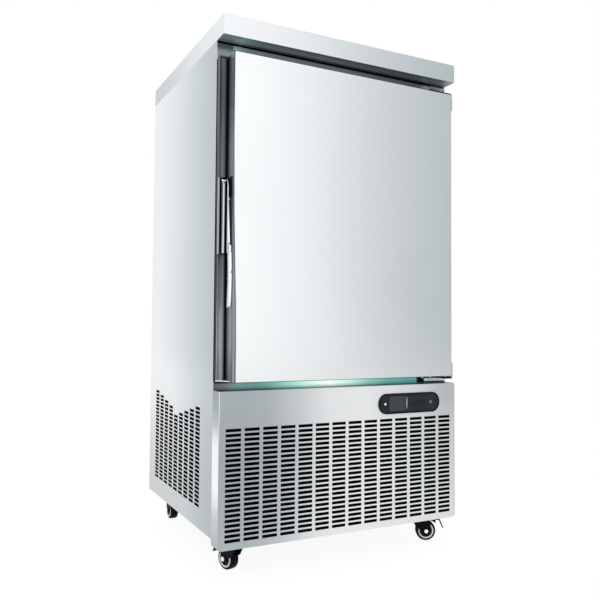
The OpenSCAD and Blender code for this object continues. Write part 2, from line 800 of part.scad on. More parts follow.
module liquid_receiver() {
  color("black") {
    translate([recv_x, recv_y, pan_z]) difference() {
      cylinder(r = recv_r - 8, h = 26);
      translate([0, 0, -1]) cylinder(r = recv_r - 11, h = 20);
    }
    translate([recv_x, recv_y, pan_z + 20]) rotate_extrude() {
      translate([0, 24]) square([recv_r, recv_top - pan_z - 68]);
      square([recv_r - 24, recv_top - pan_z - 20]);
      for (z = [24, recv_top - pan_z - 44]) intersection() {
        translate([recv_r - 24, z]) circle(r = 24);
        translate([0, -10]) square([recv_r + 1, recv_top]);
      }
    }
    rod_x(small_pipe_r, recv_x, recv_x + recv_r + 15, recv_y, recv_out_z);
    translate([recv_x, recv_y, recv_top - 5]) cylinder(r = small_pipe_r, h = 15);
  }
}

module filter_drier() {
  x1 = drier_x0 + drier_l;
  color("peru") translate([drier_x0, recv_y, drier_z]) rotate([0, 90, 0]) {
    cylinder(r = small_pipe_r, h = drier_l);
    translate([0, 0, 25]) cylinder(r = 20, h = drier_l - 50);
    translate([0, 0, 12]) cylinder(r1 = small_pipe_r, r2 = 20, h = 13);
    translate([0, 0, drier_l - 25]) cylinder(r1 = 20, r2 = small_pipe_r, h = 13);
  }
}

module refrigerant_pipes() {
  zt = comp_z0 + 4;
  cx = cond_pipe_x;
  dy = comp_y - comp_r - 20;
  rise_y = comp_y - 130;
  return_y = comp_y - 70;
  sx = comp_x + comp_r + 20;
  top_z = cond_z0 + cond_h - 28;
  small_bend = 15;
  big_bend = 20;
  color("sienna") {
    // Discharge: compressor to condenser
    tube([[comp_x, dy, zt + 170], [comp_x, rise_y, zt + 170], [comp_x, rise_y, top_z],
          [cx + 26, rise_y, top_z],
          [cx + 26, cond_y0 + 37, top_z], [cx, cond_y0 + 37, top_z]], small_pipe_r, small_bend);
    // Condenser to receiver
    tube([[cx, cond_y0 + 22, cond_z0 + 30], [cx + 61, cond_y0 + 22, cond_z0 + 30],
          [cx + 61, recv_y - 40, cond_z0 + 30], [cx + 61, recv_y - 40, liquid_loop_z],
          [cx + 61, recv_y, liquid_loop_z], [cx + 61, recv_y, recv_out_z],
          [recv_x + recv_r + 15, recv_y, recv_out_z]], small_pipe_r, small_bend);
    // Receiver to filter drier
    tube([[recv_x, recv_y, recv_top + 10], [recv_x, recv_y, drier_z], [drier_x0, recv_y, drier_z]],
          small_pipe_r, small_bend);
    // Filter drier to evaporator
    tube([[drier_x0 + drier_l, recv_y, drier_z], [liquid_x, recv_y, drier_z],
          [liquid_x, liquid_y, drier_z], [liquid_x, liquid_y, liquid_z],
          [coil_half + 10, liquid_y, liquid_z]], small_pipe_r, small_bend);
    // Evaporator to compressor
    tube([[coil_half + 10, suction_y, suction_z], [suction_x, suction_y, suction_z],
          [suction_x, suction_y, zt + 130], [suction_x, return_y, zt + 130], [sx + 27, return_y, zt + 130],
          [sx + 27, comp_y, zt + 130], [sx, comp_y, zt + 130]], suction_pipe_r, big_bend);
  }
}

// ---------------------------------------------------------------- door

// Outline of the pan seen from above, shrunk by t, open towards the step
module pan_section(t) {
  x = pan_x - t;
  r = pan_r;
  y = y_front + t;
  translate([-x, y + r]) square([2 * x, y_step_f - y - r]);
  translate([-x + r, y]) square([2 * (x - r), r + 1]);
  for (sx = [-1, 1]) translate([sx * (x - r), y + r]) circle(r = r);
}

module door_outer_pan() {
  color("white") difference() {
    translate([0, 0, door_z0]) linear_extrude(door_h) pan_section(0);
    intersection() {
      translate([0, 0, door_z0 + skin]) linear_extrude(door_h - 2 * skin) pan_section(skin);
      box(-pan_x, pan_x, y_front, y_step_f + 1, door_z0, door_z1);
    }
  }
}

frame_w = gasket_x - 32;
frame_h = 30;
keeper_z = shaft_z + 4;
module door_frame() {
  color("gray") difference() {
    ring(half_w, door_z0, door_z1, frame_w, door_z0 + frame_h, door_z1 - frame_h, y_step_f, y_step_b);
    box(keeper_x - keeper_w / 2 - 1.5, keeper_x + keeper_w / 2 + 1.5, y_step_f - 1, y_step_b + 1,
        keeper_z - 14, keeper_z + 8);
  }
}

raise = 4;
raise_in = 30;
module door_inner_liner() {
  x = frame_w - raise_in;
  z0 = door_z0 + frame_h;
  z1 = door_z1 - frame_h;
  color("whitesmoke") difference() {
    union() {
      box(-frame_w, frame_w, y_step_b - skin, y_step_b, z0, z1);
      box(-x, x, y_step_b - skin, y_step_b + raise, z0 + raise_in, z1 - raise_in);
    }
    box(-x + skin, x - skin, y_step_b - skin - 1, y_step_b + raise - skin,
        z0 + raise_in + skin, z1 - raise_in - skin);
  }
}

module door_insulation() {
  x = frame_w - raise_in - skin;
  z0 = door_z0 + frame_h;
  z1 = door_z1 - frame_h;
  color("khaki") {
    translate([0, 0, door_z0 + skin]) intersection() {
      linear_extrude(door_h - 2 * skin) pan_section(skin);
      box(-pan_x, pan_x, y_front, y_step_f, -1, door_h);
    }
    box(-frame_w, frame_w, y_step_f - 1, y_step_b - skin, z0, z1);
    box(-x, x, y_step_f - 1, y_step_b + raise - skin, z0 + raise_in + skin, z1 - raise_in - skin);
  }
}

// Magnetic gasket: foot, bellows and magnet bulb, one behind the other
module door_gasket() {
  t = seal_gap - slide_gap;
  layers = [[0, 0, 0.3], [3.5, 0.3, 0.6], [1.5, 0.6, 1]];
  color("black") for (l = layers)
    ring(gasket_x - l[0], gasket_z0 + l[0], gasket_z1 - l[0],
         gasket_x - gasket_w + l[0], gasket_z0 + gasket_w - l[0], gasket_z1 - gasket_w + l[0],
         y_step_b + t * l[1], y_step_b + t * l[2]);
}

// Shallow scoop along the step, between two lips
scoop_w = 22;
scoop_h = 5;
module scoop_section() {
  lip = 1.6;
  half = (scoop_w - 2 * lip) / 2;
  depth = scoop_h - 1.5;
  r = (half * half + depth * depth) / (2 * depth);
  a = asin(half / r);
  translate([-half_w + scoop_w / 2, y_step_f]) polygon(concat(
    [[-scoop_w / 2, 0], [-scoop_w / 2, -scoop_h]],
    arc(0, -scoop_h + depth - r, r, 90 + a, 90 - a, 12),
    [[scoop_w / 2, -scoop_h], [scoop_w / 2, 0]]));
}
cap_t = 4;
module grip_rail() {
  color("gray") {
    translate([0, 0, door_z0 + cap_t]) linear_extrude(latch_z0 - door_z0 - cap_t) scoop_section();
    translate([0, 0, latch_z1]) linear_extrude(door_z1 - cap_t - latch_z1) scoop_section();
  }
}

// End caps of the step's channel: a wedge-shaped floor with a hollow edge below, a plain one above
module rail_end_caps() {
  lip_y = y_step_f - scoop_h - 1;
  color("white") {
    translate([0, 0, door_z0]) linear_extrude(cap_t) difference() {
      polygon([[-half_w, y_step_f], [-half_w, lip_y], [-pan_x, y_front + 8], [-pan_x, y_step_f]]);
      translate([-half_w - 32, y_front - 4.5]) circle(r = 60);
    }
    translate([0, 0, door_z1 - cap_t]) linear_extrude(cap_t)
      translate([-half_w, lip_y]) square([step_w, scoop_h + 1]);
  }
}

block_h = 40;
block_d = 36;
block_r = 20;
// Plate or block over the hinge pin, from x0 to x1, with a round outer front corner
module hinge_plate(x0, x1, y1, z0, h) {
  y0 = y_step_f - block_d;
  translate([0, 0, z0]) linear_extrude(h) polygon(concat(
    [[x1, y1], [x0, y1], [x0, y0]], arc(x1 - block_r, y0 + block_r, block_r, 270, 360, 8)));
}
module hinge_blocks() {
  color("gray") difference() {
    union() {
      for (z = [door_z0, door_z1 - block_h]) hinge_plate(pan_x, half_w, y_step_f, z, block_h);
      translate([hinge_x, hinge_y, bracket_z0 + bracket_t + slide_gap])
        cylinder(r = pin_r + 4, h = door_z0 + 1 - bracket_z0 - bracket_t - slide_gap);
    }
    translate([hinge_x, hinge_y, door_z0 - 20]) cylinder(r = pin_r + run_fit, h = door_h + 40);
  }
}

bracket_t = 6;
bracket_z0 = door_z0 - 11;
bracket_z1 = door_z1 + 5;
leg_t = 5;
module hinge_brackets() {
  x1 = half_w - 2;
  color("silver") {
    box(half_w - 110, x1, y_face - leg_t, y_face, panel_z0 + panel_h + 1, door_z0 - 2);
    hinge_plate(half_w - 38, x1, y_face - 1, bracket_z0, bracket_t);
    translate([hinge_x, hinge_y, bracket_z0]) cylinder(r = pin_r, h = bracket_t + 5 + pin_l);
    box(half_w - 60, x1, y_face - leg_t, y_face, bracket_z1, cap_z0 - 6);
    hinge_plate(half_w - 38, x1, y_face - 1, bracket_z1, bracket_t);
    translate([hinge_x, hinge_y, bracket_z1 - 5 - pin_l])
      cylinder(r = pin_r, h = bracket_t + 5 + pin_l);
  }
}

// ---------------------------------------------------------------- latch

// Side outline of the latch housing, shrunk by t: its upper front corner is a large round
module cover_side(t, d) {
  r = 28 - t;
  z0 = latch_z0 + t;
  z1 = latch_z1 - t;
  y0 = y_step_f - d + t;
  translate([y0, z0]) square([y_step_f + 1 - y0, z1 - r - z0]);
  translate([y0 + r, z0]) square([y_step_f + 1 - y0 - r, z1 - z0]);
  translate([y0 + r, z1 - r]) circle(r = r);
}
// Half-round section of the housing seen from above, shrunk by t
module cover_top(t) {
  r = cover_w / 2 - t;
  x = -half_w + cover_w / 2;
  y = y_step_f - cover_d + cover_w / 2;
  translate([x - r, y]) square([2 * r, y_step_f + 1 - y]);
  translate([x, y]) circle(r = r);
}

module latch_cover() {
  cheek_d = cover_d + 6;
  color("gainsboro") difference() {
    intersection() {
      union() {
        intersection() {
          translate([0, 0, latch_z0]) linear_extrude(latch_h) cover_top(0);
          pull_x(-half_w, cheek_x0) cover_side(0, cover_d);
        }
        pull_x(cheek_x0 - 1, cheek_x1) cover_side(0, cheek_d);
      }
      box(-half_w, 0, y_front, y_step_f, latch_z0, latch_z1);
    }
    intersection() {
      translate([0, 0, latch_z0 + cover_wall]) linear_extrude(latch_h - 2 * cover_wall)
        cover_top(cover_wall);
      pull_x(-half_w, cheek_x0) cover_side(cover_wall, cover_d);
    }
    rod_x(shaft_r + run_fit, cheek_x0 - 4, cheek_x1 + 1, shaft_y, shaft_z);
  }
}

module latch_backplate() {
  color("black") box(plate_x0, -pan_x, y_step_f - cover_d - 8, y_step_f, latch_z0, latch_z1);
}

// Lever: boss and slim arm, an eye that joins them to the bowed grip
module latch_lever() {
  grip_top = lever_l * 0.46;
  grip_l = lever_l - grip_top;
  eye_y = -10;
  eye_z = -grip_top + 4;
  arm_in = 1;
  n = 16;
  color("whitesmoke") translate([0, shaft_y, shaft_z]) difference() {
    union() {
      rod_x(9, lever_x0, lever_x1, 0, 0);
      pull_x(lever_x0 + arm_in, lever_x1 - arm_in)
        polygon([[-7, -5], [6, -5], [-4, -grip_top], [-14, -grip_top]]);
      rod_x(12, lever_x0, lever_x1, eye_y, eye_z);
      pull_x(lever_x0, lever_x1) polygon(concat(
        [for (i = [0 : n]) let (t = i / n) [-21 - 4 * sin(180 * t), -grip_top - t * (grip_l - 7)]],
        arc(-14.5, -lever_l + 7, 6.5, 180, 360, 6),
        [for (i = [n : -1 : 0]) let (t = i / n) [-8 - 6 * sin(180 * t), -grip_top - t * (grip_l - 7)]]));
    }
    rod_x(6, lever_x0 - 1, lever_x1 + 1, eye_y, eye_z);
    rod_x(shaft_r + run_fit, lever_x0 - 1, lever_x1 + 1, 0, 0);
  }
}

// Hook behind the keeper's nose, on the lever's shaft
module latch_hook() {
  hub_r = 6;
  nose_z = 6;
  claw_y = shaft_f - 0.5;
  color("silver") {
    rod_x(shaft_r, keeper_x - keeper_w / 2, lever_x1, shaft_y, shaft_z);
    translate([0, shaft_y, shaft_z]) pull_x(keeper_x - keeper_w / 2, keeper_x + keeper_w / 2) {
      circle(r = hub_r);
      polygon([[-hub_r, 0], [0, -4], [13, -9], [20, -9], [20, -nose_z - slide_gap],
               [claw_y, -nose_z - slide_gap], [claw_y, -16], [6, -16], [3, -11]]);
    }
  }
}

// Keeper on the body: a screwed plate and an arm with a nose that points down
module latch_keeper() {
  y_tip = shaft_y + 12;
  color("silver") {
    box(keeper_x - keeper_w / 2, keeper_x + 22, y_face - 3, y_face, keeper_z - 40, keeper_z + 36);
    box(keeper_x - keeper_w / 2, keeper_x + keeper_w / 2, y_tip, y_face - 2, keeper_z - 2, keeper_z + 2);
    box(keeper_x - keeper_w / 2, keeper_x + keeper_w / 2, y_tip, y_tip + 5,
        shaft_z - 6, keeper_z + 2);
  }
}

// ---------------------------------------------------------------- casters

module place_caster(sx, y, turn) {
  translate([sx * caster_x, y, 0]) rotate([0, 0, turn]) children();
}
module at_front_left() { place_caster(-1, caster_y_front, turn_fl) children(); }
module at_front_right() { place_caster(1, caster_y_front, turn_fr) children(); }
module at_rear_left() { place_caster(-1, caster_y_rear, turn_rl) children(); }
module at_rear_right() { place_caster(1, caster_y_rear, turn_rr) children(); }

king_r = 6;
race_h = 3;
crown_z1 = caster_h - plate_t - race_h - 0.2;
crown_z0 = crown_z1 - crown_h;
// Mounting plates with their races, king pins and bolt heads
module caster_plates() {
  color("silver") for (sx = [-1, 1], y = [caster_y_front, caster_y_rear]) translate([sx * caster_x, y, 0]) {
    translate([-plate_w / 2, -plate_w / 2, caster_h - plate_t]) cube([plate_w, plate_w, plate_t]);
    translate([0, 0, caster_h - plate_t - race_h]) cylinder(r = 18, h = race_h + 1);
    translate([0, 0, crown_z0 - 3]) cylinder(r = king_r, h = caster_h - plate_t - crown_z0 + 3);
    translate([0, 0, crown_z0 - 6]) cylinder(r = king_r + 3, h = 6 - 0.2);
    for (bx = [-22, 22], by = [-22, 22]) translate([bx, by, caster_h - plate_t - 4])
      cylinder(r = 4.5, h = 5);
  }
}

leg_y = wheel_w / 2 + 1.2;
leg_w = 3;
apron_x = -24;
eye_r = 13;
pedal_x = trail + 2;
pedal_z = 70;
pedal_pin_r = 3;
// Outline of one cheek of the hood, seen from the side: broad at the crown, round at the axle
module cheek() {
  polygon([[apron_x, crown_z1 - 2], [apron_x, 62], [trail - 32, 44], [trail - eye_r, wheel_r],
           [trail + eye_r, wheel_r], [trail + 15, 46], [trail + 13, 62],
           [trail + 7, pedal_z + 9], [20, crown_z1 - 2]]);
  translate([trail, wheel_r]) circle(r = eye_r);
}
// Hooded fork: crown, two cheeks, an apron in front, axle bolt and, on a braked caster, the
// pedal's cross pin
module fork(braked) {
  color("black") difference() {
    union() {
      translate([0, 0, crown_z0]) cylinder(r = -apron_x, h = crown_h);
      for (s = [0, 1]) mirror([0, s, 0]) translate([0, leg_y + leg_w, 0]) rotate([90, 0, 0])
        linear_extrude(leg_w) cheek();
      box(apron_x, apron_x + leg_w, -leg_y - 1, leg_y + 1, 62, crown_z1 - 2);
      rod_y(axle_r, -leg_y - leg_w - 1, leg_y + leg_w + 1, trail, wheel_r);
      for (s = [0, 1]) mirror([0, s, 0]) rod_y(7, leg_y + leg_w, leg_y + leg_w + 2.5, trail, wheel_r);
      if (braked) rod_y(pedal_pin_r, -leg_y - 1, leg_y + 1, pedal_x, pedal_z);
    }
    translate([0, 0, crown_z0 - 1]) cylinder(r = king_r + run_fit, h = crown_h + 2);
  }
}
module front_left_fork() { at_front_left() fork(true); }
module front_right_fork() { at_front_right() fork(true); }
module rear_left_fork() { at_rear_left() fork(false); }
module rear_right_fork() { at_rear_right() fork(false); }

// Wheel: bored hub and web inside a tyre with round shoulders
module wheel() {
  shoulder = 5;
  hub_r = 11;
  tyre_r0 = 19;
  bore = axle_r + run_fit;
  color("black") translate([trail, 0, wheel_r]) rotate([90, 0, 0]) rotate_extrude($fn = 64) {
    translate([bore, -wheel_w / 2]) square([hub_r - bore, wheel_w]);
    translate([bore, -wheel_w / 2 + 4]) square([tyre_r0 + 2 - bore, wheel_w - 8]);
    translate([tyre_r0, -wheel_w / 2]) square([wheel_r - tyre_r0 - shoulder, wheel_w]);
    translate([tyre_r0, -wheel_w / 2 + shoulder]) square([wheel_r - tyre_r0, wheel_w - 2 * shoulder]);
    for (s = [-1, 1]) translate([wheel_r - shoulder, s * (wheel_w / 2 - shoulder)]) circle(r = shoulder);
  }
}
module front_left_wheel() { at_front_left() wheel(); }
module front_right_wheel() { at_front_right() wheel(); }
module rear_left_wheel() { at_rear_left() wheel(); }
module rear_right_wheel() { at_rear_right() wheel(); }

// Brake pedal: a sleeve on the cross pin, a bent tread plate and a shoe. The shoe's face is the
// tyre's own curve as it lies when the pedal is fully down
press = 12;
module brake() {
  reach = trail + 58;
  half = 11;
  t = 2.5;
  dx = trail - pedal_x;
  dz = wheel_r - pedal_z;
  color("black") difference() {
    union() {
      rod_y(6, -half, half, pedal_x, pedal_z);
      translate([0, half, 0]) rotate([90, 0, 0]) linear_extrude(2 * half)
        polygon([[pedal_x, pedal_z - 1], [trail + 14, pedal_z - 3], [trail + 16, pedal_z - 16],
                 [trail + 32, pedal_z - 16], [trail + 32, pedal_z - 5], [reach - 14, pedal_z - 6],
                 [reach - t, pedal_z - 32], [reach, pedal_z - 32], [reach - 12, pedal_z - 3],
                 [pedal_x, pedal_z + 2]]);
    }
    rod_y(wheel_r + slide_gap, -half - 1, half + 1,
          pedal_x + dx * cos(press) - dz * sin(press), pedal_z + dx * sin(press) + dz * cos(press));
    rod_y(pedal_pin_r + run_fit, -half - 1, half + 1, pedal_x, pedal_z);
  }
}
module front_left_brake() { at_front_left() brake(); }
module front_right_brake() { at_front_right() brake(); }

// ---------------------------------------------------------------- nodes

base_frame();
base_pan();
left_side_panel();
right_side_panel();
back_panel();
rear_cover();
top_cap();
inner_liner();
cabinet_insulation();
face_frame();
lower_front_panel();
control_bezel();
display_window();
control_pad();
power_button();
mode_button();
electric_box();
left_tray_rack();
right_tray_rack();
fan_baffle();
evaporator_motors();
upper_evaporator_fan();
lower_evaporator_fan();
evaporator_coil();
drip_tray();
compressor();
compressor_feet();
condenser_coil();
condenser_shroud();
condenser_motor();
condenser_fan();
liquid_receiver();
filter_drier();
refrigerant_pipes();
panel_screws();
hinge_brackets();
latch_keeper();
caster_plates();
door_outer_pan();
door_frame();
door_insulation();
door_inner_liner();
door_gasket();
grip_rail();
rail_end_caps();
hinge_blocks();
latch_cover();
latch_backplate();
latch_lever();
latch_hook();
front_left_fork();
front_right_fork();
rear_left_fork();
rear_right_fork();
front_left_wheel();
front_right_wheel();
rear_left_wheel();
rear_right_wheel();
front_left_brake();
front_right_brake();
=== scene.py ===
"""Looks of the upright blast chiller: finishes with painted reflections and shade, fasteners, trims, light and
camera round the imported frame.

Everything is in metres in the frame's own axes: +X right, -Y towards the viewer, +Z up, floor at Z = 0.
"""
import math

import bmesh
import bpy
from mathutils import Matrix, Vector
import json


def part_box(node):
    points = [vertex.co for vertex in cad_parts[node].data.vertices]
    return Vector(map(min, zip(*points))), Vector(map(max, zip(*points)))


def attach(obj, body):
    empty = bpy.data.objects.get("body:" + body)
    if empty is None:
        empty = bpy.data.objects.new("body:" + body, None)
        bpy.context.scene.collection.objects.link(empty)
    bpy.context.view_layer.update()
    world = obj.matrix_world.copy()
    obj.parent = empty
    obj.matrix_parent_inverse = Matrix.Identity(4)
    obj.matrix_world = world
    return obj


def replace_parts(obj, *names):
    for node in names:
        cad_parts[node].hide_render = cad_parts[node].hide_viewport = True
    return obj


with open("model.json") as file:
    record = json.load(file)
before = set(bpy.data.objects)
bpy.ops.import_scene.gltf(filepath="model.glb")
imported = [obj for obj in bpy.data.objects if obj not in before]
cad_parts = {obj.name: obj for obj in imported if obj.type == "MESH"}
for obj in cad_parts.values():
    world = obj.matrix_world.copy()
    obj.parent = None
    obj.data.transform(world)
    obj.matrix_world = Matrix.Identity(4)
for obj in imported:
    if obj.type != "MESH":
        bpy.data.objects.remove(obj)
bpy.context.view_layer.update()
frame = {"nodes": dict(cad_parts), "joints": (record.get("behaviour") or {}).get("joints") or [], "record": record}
NODES = frame["nodes"]
SLOT_OF = {s["node"]: s["material_slot"] for s in frame["record"]["subparts"]}
MM = 0.001

# ------------------------------------------------------------------ camera

CAMERA_AT = Vector((-1.0433, -2.0711, 0.6817))
CAMERA_AZIMUTH = math.radians(-27.062)
CAMERA_ELEVATION = math.radians(-2.315)
CAMERA_ROLL = math.radians(0.431)
SENSOR_MM = 36.0
FOCAL_PIXELS = 681.78
FRAME_PIXELS = 600.0


def link(obj):
    bpy.context.scene.collection.objects.link(obj)
    return obj


def make_camera():
    """The photograph's camera, low at the front left."""
    data = bpy.data.cameras.new("camera")
    data.sensor_width = SENSOR_MM
    data.lens = FOCAL_PIXELS / FRAME_PIXELS * SENSOR_MM
    data.clip_end = 60.0
    cam = link(bpy.data.objects.new("camera", data))
    a, e = CAMERA_AZIMUTH, CAMERA_ELEVATION
    back = Vector((math.sin(a) * math.cos(e), -math.cos(a) * math.cos(e), math.sin(e)))
    right = (-back).cross(Vector((0, 0, 1))).normalized()
    up = right.cross(-back)
    c, s = math.cos(CAMERA_ROLL), math.sin(CAMERA_ROLL)
    turn = Matrix((c * right + s * up, c * up - s * right, back)).transposed().to_4x4()
    cam.matrix_world = Matrix.Translation(CAMERA_AT) @ turn
    bpy.context.scene.camera = cam


# ------------------------------------------------------------------ material kit


class Nodes:
    """Short calls that build a node tree."""

    def __init__(self, tree):
        self.tree = tree

    def node(self, kind, **values):
        n = self.tree.nodes.new(kind)
        for key, value in values.items():
            setattr(n, key, value)
        return n

    def join(self, a, b):
        self.tree.links.new(a, b)

    def feed(self, socket, value):
        """Sets an input to a number or a colour, or joins an output to it."""
        if isinstance(value, (int, float)):
            socket.default_value = value
        elif isinstance(value, tuple):
            socket.default_value = (*value, 1.0)
        else:
            self.join(value, socket)

    def place(self, stretch=(1, 1, 1), offset=(0, 0, 0)):
        """Object coordinates, stretched."""
        coords = self.node("ShaderNodeTexCoord")
        mapping = self.node("ShaderNodeMapping")
        mapping.inputs["Scale"].default_value = stretch
        mapping.inputs["Location"].default_value = offset
        self.join(coords.outputs["Object"], mapping.inputs["Vector"])
        return mapping.outputs["Vector"]

    def part(self, vector, name):
        """One coordinate of a vector."""
        split = self.node("ShaderNodeSeparateXYZ")
        self.join(vector, split.inputs["Vector"])
        return split.outputs[name]

    def axis(self, name):
        """One object coordinate, in metres."""
        return self.part(self.place(), name)

    def facing(self, name):
        """One coordinate of the object's own normal."""
        return self.part(self.node("ShaderNodeTexCoord").outputs["Normal"], name)

    def ramp(self, value, stops):
        """Colour that follows a value through (value, colour) stops."""
        first, last = stops[0][0], stops[-1][0]
        n = self.node("ShaderNodeValToRGB")
        dots = n.color_ramp.elements
        for at, _ in stops[1:-1]:
            dots.new((at - first) / (last - first))
        for dot, (_, color) in zip(dots, stops):
            dot.color = (*color, 1.0)
        self.join(self.span(value, 0.0, 1.0, first, last), n.inputs["Fac"])
        return n.outputs["Color"]

    def level(self, axis, stops):
        """Number that follows an axis through (millimetres, value) stops."""
        return self.ramp(self.axis(axis), [(at * MM, (value, value, value)) for at, value in stops])

    def noise(self, scale, stretch=(1, 1, 1), detail=3.0, rough=0.55, offset=(0, 0, 0)):
        n = self.node("ShaderNodeTexNoise")
        n.inputs["Scale"].default_value = scale
        n.inputs["Detail"].default_value = detail
        n.inputs["Roughness"].default_value = rough
        self.join(self.place(stretch, offset), n.inputs["Vector"])
        return n.outputs["Fac"]

    def wave(self, scale):
        """Fine upright lines."""
        n = self.node("ShaderNodeTexWave", bands_direction="X")
        n.inputs["Scale"].default_value = scale
        self.join(self.place(), n.inputs["Vector"])
        return n.outputs["Fac"]

    def span(self, value, low, high, from_low=0.3, from_high=0.7):
        """Maps a stretch of a value, such as the middle of a noise, to low to high."""
        n = self.node("ShaderNodeMapRange")
        n.inputs["From Min"].default_value = from_low
        n.inputs["From Max"].default_value = from_high
        n.inputs["To Min"].default_value = low
        n.inputs["To Max"].default_value = high
        self.join(value, n.inputs["Value"])
        return n.outputs["Result"]

    def after(self, axis, start, end):
        """Mask that rises between two places on an axis, in metres."""
        return self.span(self.axis(axis), 0.0, 1.0, start, end)

    def before(self, axis, start, end):
        """Mask that falls between two places on an axis, in metres."""
        return self.span(self.axis(axis), 1.0, 0.0, start, end)

    def left_faces(self):
        """Mask of the faces that look to the left."""
        return self.span(self.facing("X"), 1.0, 0.0, -0.6, -0.4)

    def math(self, kind, a, b=0.0):
        n = self.node("ShaderNodeMath", operation=kind)
        self.feed(n.inputs[0], a)
        self.feed(n.inputs[1], b)
        return n.outputs["Value"]

    def both(self, a, b):
        """Mask where two masks overlap."""
        return self.math("MULTIPLY", a, b)

    def tint(self, mask, low, high):
        """Colour that goes from low to high with a mask; each is a colour or a socket."""
        n = self.node("ShaderNodeMix", data_type="RGBA")
        self.join(mask, n.inputs[0])
        self.feed(n.inputs[6], low)
        self.feed(n.inputs[7], high)
        return n.outputs[2]

    def dim(self, color, factor):
        """Colour socket times a factor, which is a number or a socket."""
        n = self.node("ShaderNodeVectorMath", operation="SCALE")
        self.join(color, n.inputs["Vector"])
        self.feed(n.inputs["Scale"], factor)
        return n.outputs["Vector"]

    def blend(self, mask, a, b):
        """Shader that goes from a to b with a mask, which is a number or a socket."""
        n = self.node("ShaderNodeMixShader")
        self.feed(n.inputs["Fac"], mask)
        self.join(a, n.inputs[1])
        self.join(b, n.inputs[2])
        return n.outputs["Shader"]

    def light(self, kind, color, strength):
        """Emission or Background shader of a colour and a strength."""
        n = self.node("ShaderNode" + kind)
        self.feed(n.inputs["Color"], color)
        self.feed(n.inputs["Strength"], strength)
        return n.outputs[kind]


class Surface(Nodes):
    """A material with its shader."""

    def __init__(self, name, color, metallic=0.0, roughness=0.5, **sockets):
        self.mat = bpy.data.materials.new(name)
        self.mat.use_nodes = True
        super().__init__(self.mat.node_tree)
        self.shader = self.tree.nodes["Principled BSDF"]
        self.set("Base Color", color)
        self.set("Metallic", metallic)
        self.set("Roughness", roughness)
        for key, value in sockets.items():
            self.set(key.replace("_", " "), value)

    def set(self, socket, value):
        """Gives a shader input a number, a colour or another node's output."""
        self.feed(self.shader.inputs[socket], value)

    def color(self, value):
        self.set("Base Color", value)

    def rough(self, value):
        self.set("Roughness", value)

    def metal(self, value):
        self.set("Metallic", value)

    def glow(self, color, strength):
        self.set("Emission Color", color)
        self.set("Emission Strength", strength)

    def bump(self, height, depth, strength=1.0):
        """Bump of a real depth in metres."""
        n = self.node("ShaderNodeBump")
        n.inputs["Strength"].default_value = strength
        n.inputs["Distance"].default_value = depth
        self.join(height, n.inputs["Height"])
        self.join(n.outputs["Normal"], self.shader.inputs["Normal"])


def scaled(color, k, lift=0.0):
    """A colour times a factor, lifted a little."""
    return tuple(min(1.0, c * k + lift) for c in color)


# ------------------------------------------------------------------ materials

WHITE = (1.0, 1.0, 1.0)
BLACK = (0.0, 0.0, 0.0)
STEEL = (0.93, 0.935, 0.94)
GRAIN_FINE = 1100.0
GRAIN_LENGTH = 7.0


def brushed(name, color, roughness, grain="z", spread=0.02, strength=0.05, **sockets):
    """Brushed sheet: hair-fine grain along one axis, and faint wide clouds of wear."""
    s = Surface(name, color, metallic=1.0, roughness=roughness, **sockets)
    stretch = {
        "x": (GRAIN_LENGTH, GRAIN_FINE, GRAIN_FINE),
        "z": (GRAIN_FINE, GRAIN_FINE, GRAIN_LENGTH),
    }[grain]
    hair = s.noise(1.0, stretch, detail=2.0)
    cloud = s.noise(2.2, detail=3.0, offset=(3.1, 1.7, 0.4))
    s.rough(s.math("ADD", s.span(hair, -spread, spread), s.span(cloud, roughness - 0.02, roughness + 0.02)))
    s.color(s.tint(s.span(hair, 0.0, 1.0), scaled(color, 0.985), color))
    s.bump(hair, 0.00001, strength)
    return s


def galvanised(name, low=(0.40, 0.42, 0.44), high=(0.58, 0.60, 0.62)):
    """Dull zinc coat with its large flat crystals."""
    s = Surface(name, high, metallic=0.85, roughness=0.5)
    cells = s.node("ShaderNodeTexVoronoi")
    cells.inputs["Scale"].default_value = 90.0
    s.join(s.place(), cells.inputs["Vector"])
    grey = s.node("ShaderNodeRGBToBW")
    s.join(cells.outputs["Color"], grey.inputs["Color"])
    s.color(s.tint(grey.outputs["Val"], low, high))
    s.rough(s.span(grey.outputs["Val"], 0.42, 0.6, 0.0, 1.0))
    s.bump(s.noise(220.0), 0.00005, 0.3)
    return s


def polished(name, color=(0.86, 0.87, 0.89)):
    """Chromed casting with a trace of fingerprints."""
    s = Surface(name, color, metallic=1.0, roughness=0.07)
    smudge = s.noise(55.0, detail=5.0)
    s.rough(s.span(smudge, 0.04, 0.12))
    s.bump(s.noise(35.0, detail=1.0), 0.0003, 0.08)
    return s


def painted(name, color, roughness=0.42, orange_peel=0.00006, **sockets):
    """Coated steel with orange peel and paler worn spots."""
    s = Surface(name, color, roughness=roughness, Coat_Weight=0.03, Coat_Roughness=0.25, **sockets)
    wear = s.noise(38.0, detail=6.0)
    s.color(s.tint(s.span(wear, 0.0, 1.0, 0.45, 0.8), color, scaled(color, 1.3, 0.003)))
    s.rough(s.span(wear, roughness - 0.06, roughness + 0.12))
    s.bump(s.noise(700.0, detail=1.0), orange_peel, 0.5)
    return s


def moulded(name, color, roughness=0.35, grain=1600.0, depth=0.00003, **sockets):
    """Moulded plastic or rubber with its fine erosion grain."""
    s = Surface(name, color, roughness=roughness, **sockets)
    cloud = s.noise(12.0, detail=3.0)
    s.color(s.tint(s.span(cloud, 0.0, 1.0), color, scaled(color, 1.15, 0.003)))
    s.rough(s.span(cloud, roughness - 0.05, roughness + 0.07))
    s.bump(s.noise(grain, detail=2.0), depth, 0.5)
    return s


